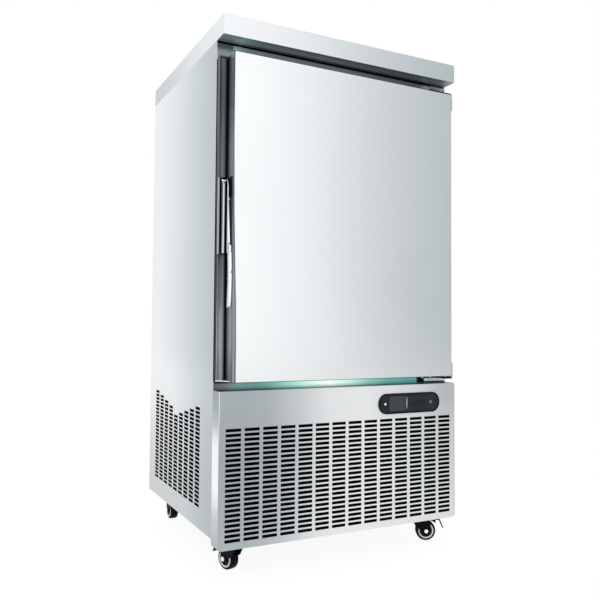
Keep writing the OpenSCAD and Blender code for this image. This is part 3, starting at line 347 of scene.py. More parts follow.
def copper_tube(name):
    """Drawn copper, browned in blotches where it was brazed."""
    s = Surface(name, (0.72, 0.40, 0.27), metallic=1.0, roughness=0.3)
    stain = s.noise(24.0, detail=6.0)
    s.color(s.tint(s.span(stain, 0.0, 1.0, 0.4, 0.65), (0.74, 0.42, 0.29), (0.38, 0.19, 0.12)))
    s.rough(s.span(stain, 0.25, 0.5))
    s.bump(stain, 0.0001, 0.2)
    return s


def finned(name, low, high, metallic=1.0):
    """Fin pack: tight upright lines, with clots of dust."""
    s = Surface(name, high, metallic=metallic, roughness=0.42)
    lines = s.wave(140.0)
    dust = s.span(s.noise(18.0, detail=5.0), 0.0, 0.5)
    s.color(s.tint(dust, s.tint(lines, low, high), scaled(low, 1.6)))
    s.rough(s.span(s.noise(60.0), 0.35, 0.6))
    s.bump(lines, 0.0004, 0.6)
    return s


def foam(name):
    s = Surface(name, (0.82, 0.70, 0.42), roughness=0.9)
    cells = s.noise(420.0, detail=4.0)
    s.color(s.tint(s.span(cells, 0.0, 1.0), (0.70, 0.57, 0.30), (0.90, 0.80, 0.55)))
    s.bump(cells, 0.0006, 0.6)
    return s


def lens(name):
    """Smoked display lens with fine upright ribs."""
    s = moulded(name, (0.030, 0.036, 0.042), 0.2, Specular_IOR_Level=0.3)
    ribs = s.wave(78.0)
    s.color(s.tint(ribs, (0.030, 0.034, 0.041), (0.062, 0.068, 0.080)))
    s.bump(ribs, 0.0004, 0.5)
    return s


# ------------------------------------------------------------------ painted reflections and shade of the bent sheets

# Painted reflection and shade: brightness along one axis, as the sheets mirror the studio, put into their colour:
# (millimetres, grey)
SIDE_SHEEN = [(-290, 0.60), (-218, 0.63), (-84, 0.73), (76, 0.86), (254, 0.97), (360, 0.98)]
CAP_SIDE_SHEEN = [(-342, 0.97), (-167, 0.92), (20, 0.80), (254, 0.68), (360, 0.66)]
PANEL_SHEEN = [(-400, 0.50), (-330, 0.49), (-254, 0.53), (-159, 0.71), (-60, 0.95), (60, 1.0), (364, 0.80)]
PAN_SIDE_SHEEN = [(-360, 0.26), (-357, 0.30), (-353, 0.55), (-346, 0.68), (-338, 0.64), (-330, 0.56),
                  (-322, 0.36), (-316, 0.08), (-308, 0.01)]
CHANNEL_SHEEN = [(-399.3, 0.72), (-395.6, 0.95), (-392.3, 0.85), (-389.3, 0.56), (-386.5, 0.45),
                 (-383.8, 0.40), (-381.4, 0.27), (-379, 0.12), (-377, 0.02), (-373, 0.012), (368, 0.012),
                 (374, 0.85), (400, 0.9)]
PANEL_SIDE_SHEEN = [(99, 0.70), (162, 0.86), (205, 1.0), (374, 1.0), (417, 0.68), (459, 0.50), (502, 0.43)]
HIGH_HINGE_SHEEN = [(1460, 0.02), (1466, 0.04), (1468, 0.30), (1473, 0.62), (1478, 0.50)]
# Heights above the lower panel
LOW_HINGE_SHEEN = [(0, 0.02), (4, 0.03), (5.5, 0.85), (13, 0.90), (15, 0.03), (18, 0.04), (30, 0.30)]

# Painted light and shade by height, as factors and masks: (millimetres, value)
PANEL_RISE = [(90, 1.28), (200, 1.12), (320, 1.0)]
PANEL_SIDE_GLOW = [(180, 0.0), (247, 0.22), (350, 0.16), (417, 0.0)]
PAN_SIDE_SHADE = [(534, 0.42), (577, 0.6), (632, 0.95), (701, 1.0), (1170, 1.0), (1310, 0.6), (1407, 0.6)]
CHANNEL_SHADE = [(534, 0.95), (632, 1.0), (701, 0.92), (839, 0.57), (1170, 0.39), (1310, 0.30), (1407, 0.32)]
STEP_SIDE = [(534, 0.015), (839, 0.006), (990, 0.03), (1170, 0.09), (1310, 0.14), (1407, 0.13)]

# Painted shade: a dark line at the left edge of the door's front: where it starts along X, its widest reach,
# its share of that reach by height, and its shades across, as (millimetres from its end, grey)
DOOR_EDGE_FROM = -374 * MM
DOOR_EDGE_WIDEST = 13.5 * MM
DOOR_EDGE_REACH = [(549, 1.0), (632, 1.0), (745, 0.90), (824, 0.70), (990, 0.38), (1170, 0.2), (1310, 0.0)]
DOOR_EDGE = [(-14, 0.30), (-6, 0.35), (-4.5, 0.22), (-1.2, 0.15), (0.4, 0.93), (2, 0.93)]

# Painted reflections: stripes of the latch housing along its side, and round its front by the X of the normal
HOUSING_SIDE = [(-340, 0.004), (-332, 0.006), (-327, 0.08), (-322, 0.55), (-316, 0.85), (-308, 0.70)]
HOUSING_ROUND = [(-0.95, 0.02), (-0.8, 0.05), (-0.6, 0.50), (-0.4, 0.86), (-0.25, 0.90), (0.05, 0.25),
                 (0.35, 0.03), (1.0, 0.02)]

# Painted shade and reflection, as colours along X in metres: the cap's underside, the strips over and below the
# door
UNDER_CAP = [(-0.39, (0.20, 0.27, 0.27)), (-0.352, (0.24, 0.33, 0.33)), (-0.335, (0.28, 0.48, 0.49)),
             (-0.32, (0.20, 0.33, 0.32)), (-0.27, (0.11, 0.15, 0.16)), (0.0, (0.10, 0.115, 0.13)),
             (0.2, (0.09, 0.105, 0.115)), (0.30, (0.08, 0.11, 0.115)), (0.35, (0.14, 0.18, 0.19)),
             (0.39, (0.3, 0.38, 0.39))]
OVER_DOOR = [(-0.40, (0.22, 0.25, 0.255)), (-0.352, (0.22, 0.25, 0.255)), (-0.35, (0.75, 0.97, 0.95)),
             (-0.30, (0.60, 0.72, 0.75)), (0.0, (0.55, 0.60, 0.64)), (0.2, (0.40, 0.45, 0.52)),
             (0.30, (0.38, 0.42, 0.45)), (0.32, (0.90, 0.93, 0.95)), (0.39, (0.85, 0.88, 0.88))]
BELOW_DOOR = [(-0.39, (0.108, 0.106, 0.108)), (-0.366, (0.125, 0.13, 0.133)), (-0.349, (0.12, 0.20, 0.20)),
              (-0.33, (0.129, 0.242, 0.25)), (-0.27, (0.121, 0.25, 0.23)), (-0.23, (0.14, 0.34, 0.29)),
              (-0.17, (0.27, 0.58, 0.47)), (-0.10, (0.55, 0.84, 0.72)), (-0.03, (0.86, 0.95, 0.87)),
              (0.04, (0.55, 0.84, 0.72)), (0.11, (0.27, 0.58, 0.47)), (0.18, (0.15, 0.42, 0.36)),
              (0.28, (0.13, 0.35, 0.32))]
# Strength of the painted glow in the strip below the door, which is no lamp
STRIP_GLOW = 0.30
# Black of painted shade on the lower panel's top and inside
PAINTED_SHADE_BLACK = (0.012, 0.014, 0.014)

# Stretches over which one painted shade gives way to another, in metres
SIDE_LOW_Z = (0.32, 0.62)
SIDE_LOW_GAIN = 1.32
PANEL_EDGE_Z = (0.36, 0.44)
PANEL_CORNER_X = (0.25, 0.36)
PANEL_CORNER_Z = (0.36, 0.46)
PANEL_CORNER_SHADE = 0.80
HALF_HEIGHT_Z = (1.0, 1.1)
HINGE_NOTCH_X = (0.312, 0.314)
HOUSING_FRONT_Y = (-0.338, -0.336)
HOUSING_CHEEK_X = (-0.3876, -0.3872)
OVER_DOOR_STARTS_X = (-0.352, -0.350)
FACE_CORNER_ENDS_X = (-0.392, -0.388)


def cool(grey):
    """Grey of steel, a little bluer where it is darker."""
    dark = max(0.0, 1.0 - grey)
    return (grey * (1 - 0.16 * dark), grey, grey * (1 + 0.09 * dark))


def along(s, axis, stops, start=0.0):
    """Sheet colour along one axis, as painted reflection and shade; stops are (millimetres from start, grey)
    pairs.
    """
    return s.ramp(s.axis(axis), [(start + at * MM, cool(grey)) for at, grey in stops])


def right_border(s, node):
    """Mask of the last millimetres at a node's right end, where a darker line of painted shade goes."""
    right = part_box(node)[1].x
    return s.after("X", right - 5 * MM, right - 1 * MM)


def side_sheet(name):
    """Side panel with painted reflection: brightest at the back and low down."""
    s = brushed(name, STEEL, 0.25)
    s.color(s.dim(along(s, "Y", SIDE_SHEEN), s.span(s.axis("Z"), SIDE_LOW_GAIN, 1.0, *SIDE_LOW_Z)))
    return s


def cap_sheet(name):
    """Folded hood with painted light: pale front, side in painted shade, and an underside in painted shade with a
    painted teal reflection, not metallic so that it shows.
    """
    s = brushed(name, STEEL, 0.25, "x")
    side = s.span(s.math("ABSOLUTE", s.facing("X")), 0.0, 1.0, 0.4, 0.6)
    below = s.span(s.facing("Z"), 1.0, 0.0, -0.6, -0.4)
    front = s.tint(side, cool(0.88), along(s, "Y", CAP_SIDE_SHEEN))
    s.color(s.tint(below, front, s.ramp(s.axis("X"), UNDER_CAP)))
    s.metal(s.span(below, 1.0, 0.0, 0.0, 1.0))
    return s


def panel_sheet(name):
    """Satin lower panel in painted reflection and shade: dull at the left, pale right of the middle, a painted
    highlight on its left edge, a painted darker line at its right end, a painted glow on its side, and painted
    shade on top and inside.
    """
    s = brushed(name, STEEL, 0.34, "x")
    s.metal(0.6)
    lo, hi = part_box("lower_front_panel")
    wall = 0.8 * MM
    corner = s.both(s.after("X", *PANEL_CORNER_X), s.after("Z", *PANEL_CORNER_Z))
    sheen = s.dim(along(s, "X", PANEL_SHEEN), s.level("Z", PANEL_RISE))
    sheet = s.dim(sheen, s.span(corner, 1.0, PANEL_CORNER_SHADE, 0.0, 1.0))
    edge = s.both(s.before("X", lo.x + 2 * wall, lo.x + 3 * wall), s.after("Z", *PANEL_EDGE_Z))
    front = s.tint(right_border(s, "lower_front_panel"), s.tint(edge, sheet, cool(0.97)), cool(0.62))
    side = s.left_faces()
    outer = s.tint(side, front, along(s, "Z", PANEL_SIDE_SHEEN))
    s.glow(s.tint(s.both(side, s.level("Z", PANEL_SIDE_GLOW)), BLACK, WHITE), 1.0)
    top = s.span(s.facing("Z"), 0.0, 1.0, 0.4, 0.6)
    behind = s.after("Y", lo.y + wall, lo.y + 1.5 * wall)
    inside = s.span(s.math("ABSOLUTE", s.axis("X")), 1.0, 0.0, hi.x - 1.5 * wall, hi.x - wall)
    s.color(s.tint(s.math("MAXIMUM", top, s.both(behind, inside)), outer, PAINTED_SHADE_BLACK))
    return s


def pan_sheet(name):
    """Door skin in painted reflection and shade: the narrow return beside the handle carries a painted reflection
    of the step, and its edge is a darker line of painted shade, carried onto the front's left border; the right
    end has a painted darker line too.
    """
    s = brushed(name, STEEL, 0.25)
    side = s.left_faces()
    reach = s.math("MULTIPLY", s.level("Z", DOOR_EDGE_REACH), DOOR_EDGE_WIDEST)
    past = s.math("SUBTRACT", s.math("SUBTRACT", s.axis("X"), DOOR_EDGE_FROM), reach)
    border = s.ramp(past, [(at * MM, cool(grey)) for at, grey in DOOR_EDGE])
    edge = s.dim(along(s, "Y", PAN_SIDE_SHEEN), s.level("Z", PAN_SIDE_SHADE))
    front = s.tint(right_border(s, "door_outer_pan"), border, cool(0.76))
    s.color(s.tint(side, front, edge))
    s.metal(s.span(side, 1.0, 0.75, 0.0, 1.0))
    return s


def channel_sheet(name):
    """Bent steel of the step round the door pan, in painted reflection and shade: dark at the left, with black
    corners of painted shade, pale at the right.
    """
    s = brushed(name, (0.3, 0.31, 0.32), 0.42)
    outer = s.span(s.facing("X"), 1.0, 0.0, -0.95, -0.9)
    hollow = s.dim(along(s, "X", CHANNEL_SHEEN), s.level("Z", CHANNEL_SHADE))
    s.color(s.tint(outer, hollow, s.level("Z", STEP_SIDE)))
    return s


def end_cap_sheet(name):
    """End caps of the hollow: pale at the bottom, dark in painted shade at the top."""
    s = brushed(name, STEEL, 0.3, "x")
    s.color(s.tint(s.after("Z", *HALF_HEIGHT_Z), cool(0.93), cool(0.10)))
    return s


def chromed_lever(name):
    """Chrome of the lever; its left faces are made less metallic, a painted highlight that keeps them pale beside
    the black plate.
    """
    s = polished(name, (0.93, 0.94, 0.95))
    s.metal(s.span(s.facing("X"), 0.25, 1.0, -0.7, -0.3))
    return s


def hinge_sheet(name):
    """Hinge plates in painted reflection and shade: pale faces between dark seams of painted shade."""
    s = brushed(name, STEEL, 0.3, "x")
    low = along(s, "Z", LOW_HINGE_SHEEN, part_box("lower_front_panel")[1].z)
    sheet = s.tint(s.after("Z", *HALF_HEIGHT_Z), low, s.level("Z", HIGH_HINGE_SHEEN))
    # Painted shade, near black, at the low hinge's notch
    notch_shade = s.both(s.before("X", *HINGE_NOTCH_X), s.before("Z", *HALF_HEIGHT_Z))
    s.color(s.tint(notch_shade, sheet, (0.006, 0.01, 0.01)))
    return s


def chromed_housing(name):
    """Chrome of the latch housing, with the dark and white stripes of a half-round in a studio painted in as
    reflections; its cheek plate is pale to the front and dark elsewhere, in painted light and shade.
    """
    s = polished(name)
    s.set("Specular Tint", (0.2, 0.2, 0.2))
    side = along(s, "Y", HOUSING_SIDE)
    front = s.ramp(s.facing("X"), [(at, cool(grey)) for at, grey in HOUSING_ROUND])
    shell = s.tint(s.before("Y", *HOUSING_FRONT_Y), side, front)
    plate = s.tint(s.span(s.facing("Y"), 1.0, 0.0, -0.8, -0.5), cool(0.09), cool(0.55))
    s.color(s.tint(s.after("X", *HOUSING_CHEEK_X), shell, plate))
    return s


def face_sheet(name):
    """Face frame in painted light and shade: over the door a pale line of painted reflection between dark seams of
    painted shade; below it a strip whose green middle is a painted reflection that also glows, under a line of
    painted shade; a corner of painted shade left of the door.
    """
    s = brushed(name, STEEL, 0.22, "x")
    door_lo, door_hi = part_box("door_outer_pan")
    cap_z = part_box("hinge_brackets")[1].z + 6 * MM
    # Painted shade: a black line just under the door
    slit_shade = s.after("Z", door_lo.z - 9 * MM, door_lo.z - 6 * MM)
    strip = s.tint(slit_shade, s.ramp(s.axis("X"), BELOW_DOOR), (0.012, 0.02, 0.02))
    line = s.ramp(s.axis("X"), OVER_DOOR)
    # Painted shade in the seam over the door, and black in the gap under the cap
    seam_shade = s.both(s.after("X", *OVER_DOOR_STARTS_X), s.before("Z", cap_z - 19 * MM, cap_z - 16 * MM))
    gap = s.after("Z", cap_z - 6.5 * MM, cap_z - 5.5 * MM)
    top = s.tint(gap, s.tint(seam_shade, line, (0.06, 0.075, 0.085)), (0.002, 0.003, 0.003))
    hidden = s.tint(s.after("X", *FACE_CORNER_ENDS_X), (0.012, 0.013, 0.013), cool(0.8))
    sheet = s.tint(s.after("Z", door_lo.z - 1 * MM, door_lo.z + 1 * MM), strip, hidden)
    s.color(s.tint(s.after("Z", door_hi.z - 1 * MM, door_hi.z + 1 * MM), sheet, top))
    # Painted glow of the strip below the door, which is no lamp
    s.glow(s.tint(s.before("Z", door_lo.z - 7 * MM, door_lo.z - 5 * MM), BLACK, strip), STRIP_GLOW)
    return s


LOOKS = {
    # Lit and shaded copies of stainless and chrome, one for each piece, with painted reflection and shade in their
    # colour
    "stainless_side": side_sheet("stainless_side"),
    "stainless_cap": cap_sheet("stainless_cap"),
    "stainless_panel": panel_sheet("stainless_panel"),
    "stainless_door": pan_sheet("stainless_door"),
    "stainless_face": face_sheet("stainless_face"),
    "stainless_channel": channel_sheet("stainless_channel"),
    "stainless_hinge": hinge_sheet("stainless_hinge"),
    "chrome_housing": chromed_housing("chrome_housing"),
    "chrome_lever": chromed_lever("chrome_lever"),
    "stainless_end": end_cap_sheet("stainless_end"),
    "inner_stainless": brushed("inner_stainless", (0.78, 0.79, 0.80), 0.32, "x"),
    "galvanised": galvanised("galvanised"),
    # Dark copy of galvanised steel: painted shade inside the machine compartment
    "galvanised_painted_shade": galvanised("galvanised_painted_shade", (0.05, 0.052, 0.055), (0.10, 0.104, 0.11)),
    "zinc": brushed("zinc", (0.72, 0.73, 0.74), 0.3, spread=0.06),
    "caster_steel": painted("caster_black", (0.002, 0.002, 0.003), 0.34, Specular_IOR_Level=0.08),
    "black_paint": painted("black_paint", (0.008, 0.008, 0.010), 0.45),
    "grey_paint": painted("grey_paint", (0.20, 0.21, 0.22), 0.5),
    "chrome": polished("chrome"),
    "copper": copper_tube("copper"),
    "fin_aluminium": finned("fin_aluminium", (0.42, 0.44, 0.46), (0.78, 0.80, 0.82)),
    # Near-black fins: painted shade inside the machine compartment
    "fin_painted_shade": finned("fin_painted_shade", (0.008, 0.008, 0.009), (0.028, 0.029, 0.031), 0.3),
    "rubber": moulded("rubber", (0.018, 0.018, 0.019), 0.65),
    "gasket_rubber": moulded("gasket_rubber", (0.010, 0.011, 0.012), 0.55),
    "tyre": moulded("tyre", (0.002, 0.003, 0.005), 0.40, Specular_IOR_Level=0.1),
    "foam": foam("foam"),
    "black_plastic": moulded("black_plastic", (0.013, 0.016, 0.019), 0.34, Specular_IOR_Level=0.22),
    "rim_plastic": moulded("rim_plastic", (0.003, 0.004, 0.005), 0.28, Specular_IOR_Level=0.16),
    "key_plastic": moulded("key_plastic", (0.018, 0.022, 0.026), 0.42, Specular_IOR_Level=0.25),
    "divider": moulded("divider", (0.55, 0.57, 0.58), 0.3),
    # Black mats: a dust filter whose black is also painted shade in the slots
    "filter_foam_painted_shade": moulded("filter_foam_painted_shade", (0.0015, 0.0015, 0.0016), 0.95, 500.0, 0.0005,
                           Specular_IOR_Level=0.0),
    "dim_plastic": moulded("dim_plastic", (0.16, 0.17, 0.18), 0.4),
    "white_plastic": moulded("white_plastic", (0.86, 0.87, 0.87), 0.3),
    "grey_plastic": moulded("grey_plastic", (0.42, 0.44, 0.46), 0.4),
    "fan_plastic": moulded("fan_plastic", (0.02, 0.021, 0.023), 0.45),
    "display": lens("display"),
    "lamp": moulded("lamp", (0.90, 0.91, 0.92), 0.25, Emission_Color=WHITE, Emission_Strength=0.5),
    # Zinc that glows though it is no lamp: a painted glint on the axle nuts
    "zinc_painted_glint": brushed("zinc_painted_glint", (0.9, 0.9, 0.9), 0.3, Emission_Color=WHITE, Emission_Strength=0.35),
}
# Nodes whose look differs from the rest of their slot; most are lit and shaded copies of stainless and chrome
# in painted reflection and shade, and dark copies in painted shade inside the machine compartment
OWN_LOOK = {
    "left_side_panel": "stainless_side",
    "right_side_panel": "stainless_side",
    "lower_front_panel": "stainless_panel",
    "top_cap": "stainless_cap",
    "face_frame": "stainless_face",
    "door_outer_pan": "stainless_door",
    "door_frame": "stainless_channel",
    "grip_rail": "stainless_channel",
    "hinge_brackets": "stainless_hinge",
    "latch_cover": "chrome_housing",
    "latch_lever": "chrome_lever",
    "rail_end_caps": "stainless_end",
    "condenser_coil": "fin_painted_shade",
    "condenser_shroud": "galvanised_painted_shade",
    "base_pan": "galvanised_painted_shade",
    "base_frame": "galvanised_painted_shade",
    "power_button": "key_plastic",
    "mode_button": "dim_plastic",
}


def dress_nodes():
    """Gives every CAD node the material of its slot, or its own."""
    for name, obj in NODES.items():
        obj.data.materials.clear()
        obj.data.materials.append(LOOKS[OWN_LOOK.get(name, SLOT_OF[name])].mat)


def soften(name, width_mm, segments=2, angle=35.0):
    """Rounds a CAD node's edges with a small bevel, as folding or casting leaves them."""
    obj = NODES[name]
    weld = obj.modifiers.new("weld", "WELD")
    weld.merge_threshold = 0.00001
    bevel = obj.modifiers.new("bevel", "BEVEL")
    bevel.width = width_mm * MM
    bevel.segments = segments
    bevel.limit_method = "ANGLE"
    bevel.angle_limit = math.radians(angle)
    bevel.harden_normals = True


# ------------------------------------------------------------------ mesh kit


def settle(name, bm, look, body, smooth_angle=32.0):
    """Turns a bmesh into a finished piece that rides on a body."""
    bmesh.ops.remove_doubles(bm, verts=bm.verts, dist=0.000001)
    bmesh.ops.recalc_face_normals(bm, faces=bm.faces)
    mesh = bpy.data.meshes.new(name)
    bm.to_mesh(mesh)
    bm.free()
    mesh.materials.append(LOOKS[look].mat)
    for polygon in mesh.polygons:
        polygon.use_smooth = True
    mesh.set_sharp_from_angle(angle=math.radians(smooth_angle))
    obj = link(bpy.data.objects.new(name, mesh))
    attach(obj, body)
    return obj


def basis(direction):
    """Two unit vectors across a direction."""
    d = Vector(direction).normalized()
    helper = Vector((0, 0, 1)) if abs(d.z) < 0.9 else Vector((1, 0, 0))
    u = d.cross(helper).normalized()
    return u, d.cross(u)


def lathe(bm, at, direction, profile, steps=48, shape=None):
    """Adds a revolved profile of (radius, height) points about a line through at.

    shape(point_index, angle) may change a ring's radius, as for a hexagon."""
    at, d = Vector(at), Vector(direction).normalized()
    u, v = basis(d)
    rings = []
    for i, (radius, height) in enumerate(profile):
        if radius < 1e-7:
            rings.append([bm.verts.new(at + d * height)])
            continue
        ring = []
        for k in range(steps):
            a = 2 * math.pi * k / steps
            r = radius * (shape(i, a) if shape else 1.0)
            ring.append(bm.verts.new(at + d * height + (u * math.cos(a) + v * math.sin(a)) * r))
        rings.append(ring)
    for low, high in zip(rings, rings[1:]):
        for k in range(steps):
            around = ((low, k), (low, k + 1), (high, k + 1), (high, k))
            unique = list(dict.fromkeys(ring[step % len(ring)] for ring, step in around))
            if len(unique) > 2:
                bm.faces.new(unique)


def hexagon(angle):
    """Radius of a unit hexagon at an angle."""
    wedge = math.pi / 3
    return math.cos(wedge / 2) / math.cos((angle % wedge) - wedge / 2)


def screw(bm, at, direction, radius_mm=4.5):
    """Adds a button-head screw with a hexagon socket."""
    r = radius_mm * MM
    sunk = 0.2 * MM
    profile = [(r, -sunk), (r, 0.12 * r), (0.93 * r, 0.30 * r), (0.78 * r, 0.45 * r), (0.56 * r, 0.54 * r),
               (0.50 * r, 0.54 * r), (0.46 * r, 0.50 * r), (0.46 * r, 0.12 * r), (0.0, 0.08 * r)]
    socket_starts = 5
    lathe(bm, at, direction, profile, 36, lambda i, a: hexagon(a) if i >= socket_starts else 1.0)


def ring_sweep(bm, loops):
    """Skins closed loops of points, one after the other and back to the first."""
    rows = [[bm.verts.new(p) for p in loop] for loop in loops]
    n = len(rows[0])
    for a, b in zip(rows, rows[1:] + rows[:1]):
        for k in range(n):
            bm.faces.new((a[k], a[(k + 1) % n], b[(k + 1) % n], b[k]))


def tube(bm, path, radius, sides=10, closed=False):
    """Adds a tube of a given radius along a path of points."""
    points = [Vector(p) for p in path]
    n = len(points)
    rows = []
    side = None
    for i, p in enumerate(points):
        before = points[i - 1] if i or closed else p
        after = points[(i + 1) % n] if i < n - 1 or closed else p
        t = (after - before).normalized()
        if side is None:
            side = basis(t)[0]
        side = (side - t * side.dot(t)).normalized()
        up = t.cross(side)
        rows.append([
            bm.verts.new(p + (side * math.cos(a) + up * math.sin(a)) * radius)
            for a in (2 * math.pi * k / sides for k in range(sides))
        ])
    pairs = list(zip(rows, rows[1:])) + ([(rows[-1], rows[0])] if closed else [])
    for a, b in pairs:
        for k in range(sides):
            bm.faces.new((a[k], a[(k + 1) % sides], b[(k + 1) % sides], b[k]))
    if not closed:
        bm.faces.new(rows[0])
        bm.faces.new(rows[-1])


def round_rect(cx, cz, w, h, r, steps=8):
    """Points of a rectangle with round corners, in the XZ plane."""
    points = []
    for qx, qz, start in ((1, 1, 0), (-1, 1, 90), (-1, -1, 180), (1, -1, 270)):
        for k in range(steps + 1):
            a = math.radians(start + 90 * k / steps)
            points.append((cx + qx * (w / 2 - r) + r * math.cos(a), cz + qz * (h / 2 - r) + r * math.sin(a)))
    return points


def middle_of(node):
    lo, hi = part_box(node)
    return (lo + hi) / 2


def in_mm(points):
    """Profile points given in millimetres, in metres."""
    return [(radius * MM, height * MM) for radius, height in points]


def joint_line(name):
    """Point and unit direction of a joint's axis."""
    joint = next(j for j in frame["joints"] if j["name"] == name)
    return Vector(joint["pos_m"]), Vector(joint["axis"]).normalized()


# ------------------------------------------------------------------ door gasket


def make_gasket():
    """Magnetic gasket: dart, folded bellows and magnet bulb, mitred round the door."""
    lo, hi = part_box("door_gasket")
    depth = hi.y - lo.y
    width = 22 * MM
    # Section: share of the width from the outer edge, share of the depth from the door
    section = [(0.05, 0.0), (0.0, 0.12), (0.03, 0.24), (0.16, 0.30), (0.17, 0.36), (0.03, 0.44), (0.03, 0.52),
               (0.15, 0.58), (0.14, 0.66), (0.02, 0.72), (0.0, 0.86), (0.06, 1.0), (0.40, 0.97), (0.60, 0.97),
               (0.94, 1.0), (1.0, 0.86), (0.98, 0.72), (0.86, 0.66), (0.85, 0.58), (0.97, 0.52), (0.97, 0.44),
               (0.83, 0.36), (0.84, 0.30), (0.97, 0.24), (1.0, 0.12), (0.95, 0.0)]
    bm = bmesh.new()
    loops = []
    for inward, forward in section:
        y = lo.y + forward * depth
        left, right = lo.x + inward * width, hi.x - inward * width
        low, high = lo.z + inward * width, hi.z - inward * width
        loops.append([(left, y, low), (right, y, low), (right, y, high), (left, y, high)])
    ring_sweep(bm, loops)
    gasket = settle("gasket_bellows", bm, "gasket_rubber", "door", smooth_angle=50.0)
    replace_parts(gasket, "door_gasket")


# ------------------------------------------------------------------ control panel


def make_control_panel():
    """Raised rim, lamp, divider and button caps of the control panel."""
    lo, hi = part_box("control_bezel")
    front = lo.y
    cx, cz = (lo.x + hi.x) / 2, (lo.z + hi.z) / 2
    w, h = hi.x - lo.x, hi.z - lo.z
    corner = h / 2 - 2 * MM

    bm = bmesh.new()
    loops = []
    inset, rim_half, rim_height, rim_steps = 2.6 * MM, 2.1 * MM, 1.6 * MM, 12
    for step in range(rim_steps):
        a = 2 * math.pi * step / rim_steps
        off = inset + rim_half * math.cos(a)
        y = front + 0.2 * MM - rim_height * math.sin(a)
        loops.append([(x, y, z) for x, z in round_rect(cx, cz, w - 2 * off, h - 2 * off, corner - off)])
    ring_sweep(bm, loops)
    settle("bezel_rim", bm, "rim_plastic", "cabinet", smooth_angle=60.0)

    power = middle_of("power_button")
    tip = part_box("power_button")[0].y
    bm = bmesh.new()
    profile = in_mm([(3.0, 0.3), (3.0, -0.35), (2.7, -0.8), (1.8, -1.15), (0.0, -1.35)])
    lathe(bm, (power.x, tip, power.z), (0, 1, 0), profile, 32)
    settle("power_lamp", bm, "lamp", "power_button")

    bm = bmesh.new()
    profile = in_mm([(9.5, 0.2), (9.7, -0.7), (10.5, -0.9), (11.0, -0.4), (11.0, 0.2)])
    lathe(bm, (power.x, front, power.z), (0, 1, 0), profile, 48)
    settle("power_collar", bm, "key_plastic", "cabinet")

    # Upright divider between the lens and the pad, thickest in its middle
    bm = bmesh.new()
    x0 = (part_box("display_window")[1].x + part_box("control_pad")[0].x) / 2
    half_length, half_width, half_steps = 20 * MM, 1.5 * MM, 8
    profile = [(half_width * math.cos(math.pi / 2 * k / half_steps) ** 0.6 if abs(k) < half_steps else 0.0,
                half_length * k / half_steps) for k in range(-half_steps, half_steps + 1)]
    lathe(bm, (x0, front, cz), (0, 0, 1), profile, 16)
    settle("panel_divider", bm, "divider", "cabinet")

    # Seams of the button bay
    bm = bmesh.new()
    seam_y, seam_half = front - 0.05 * MM, 24 * MM
    for dx in (12.2, 15.2):
        x = power.x + dx * MM
        tube(bm, [(x, seam_y, cz - seam_half), (x, seam_y, cz + seam_half)], 0.5 * MM, 8)
    settle("panel_seams", bm, "rim_plastic", "cabinet")

    mode = middle_of("mode_button")
    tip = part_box("mode_button")[0].y
    bm = bmesh.new()
    lathe(bm, (mode.x, tip, mode.z), (0, 1, 0), in_mm([(2.4, 0.2), (2.2, -0.3), (0.0, -0.55)]), 32)
    settle("mode_button_cap", bm, "dim_plastic", "mode_button")


def make_filters():
    """Black open-cell filter mats behind the grille and the side vents; their black is also painted shade that
    keeps the slots dark.
    """
    thick, gap, margin = 2 * MM, 0.8 * MM, 6 * MM
    panel_lo, panel_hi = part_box("lower_front_panel")
    bezel_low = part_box("control_bezel")[0].z
    side_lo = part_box("left_side_panel")[0]
    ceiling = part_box("cabinet_insulation")[0].z
    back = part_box("rear_cover")[0].y
    skin = 1.5 * MM

    def mat(name, lo, hi):
        bm = bmesh.new()
        bmesh.ops.create_cube(bm, size=1.0, matrix=Matrix.LocRotScale(
            (Vector(lo) + Vector(hi)) / 2, None, Vector(hi) - Vector(lo)))
        bmesh.ops.bevel(bm, geom=list(bm.edges), offset=0.4 * MM, segments=2, affect="EDGES")
        settle(name, bm, "filter_foam_painted_shade", "cabinet")

    y = panel_lo.y + skin + gap
    inside = 4 * MM
    mat("grille_filter", (panel_lo.x + inside, y, panel_lo.z + margin),
        (panel_hi.x - inside, y + thick, bezel_low - 2 * MM))
    side_foot = side_lo.z + 40 * MM
    for side, name in ((-1, "left_vent_filter"), (1, "right_vent_filter")):
        out = side * (panel_hi.x - skin - gap)
        x0, x1 = sorted((out, out - side * thick))
        mat(name, (x0, side_lo.y + margin, side_foot), (x1, back - margin, ceiling - margin))


# ------------------------------------------------------------------ casters

CORNERS = ("front_left", "front_right", "rear_left", "rear_right")
WHEEL_FACE_MM = 13.0
NUT_SEAT_MM = 19.7
# Turned profiles: (radius, distance along the axle from the wheel's middle, or from the seat), in mm
TYRE_HALF = [(20.2, 12.6), (24.6, 12.6), (25.4, 13.0), (28.0, 13.0), (29.8, 12.2), (31.0, 10.4), (31.5, 7.6)]
HUB_HALF = [(5.4, 12.6), (6.2, 13.4), (11.0, 13.35), (11.4, 12.8), (15.0, 11.8), (18.6, 10.4), (20.4, 8.6)]
RIM = [(19.8, -0.6), (20.0, 0.5), (21.2, 0.95), (23.4, 0.95), (24.5, 0.4), (24.7, -0.6)]
NUT = [(6.6, -0.2), (6.6, 2.2), (5.9, 2.7), (3.3, 2.7), (3.1, 3.4), (0.0, 3.7)]
NUT_FLATS = 3


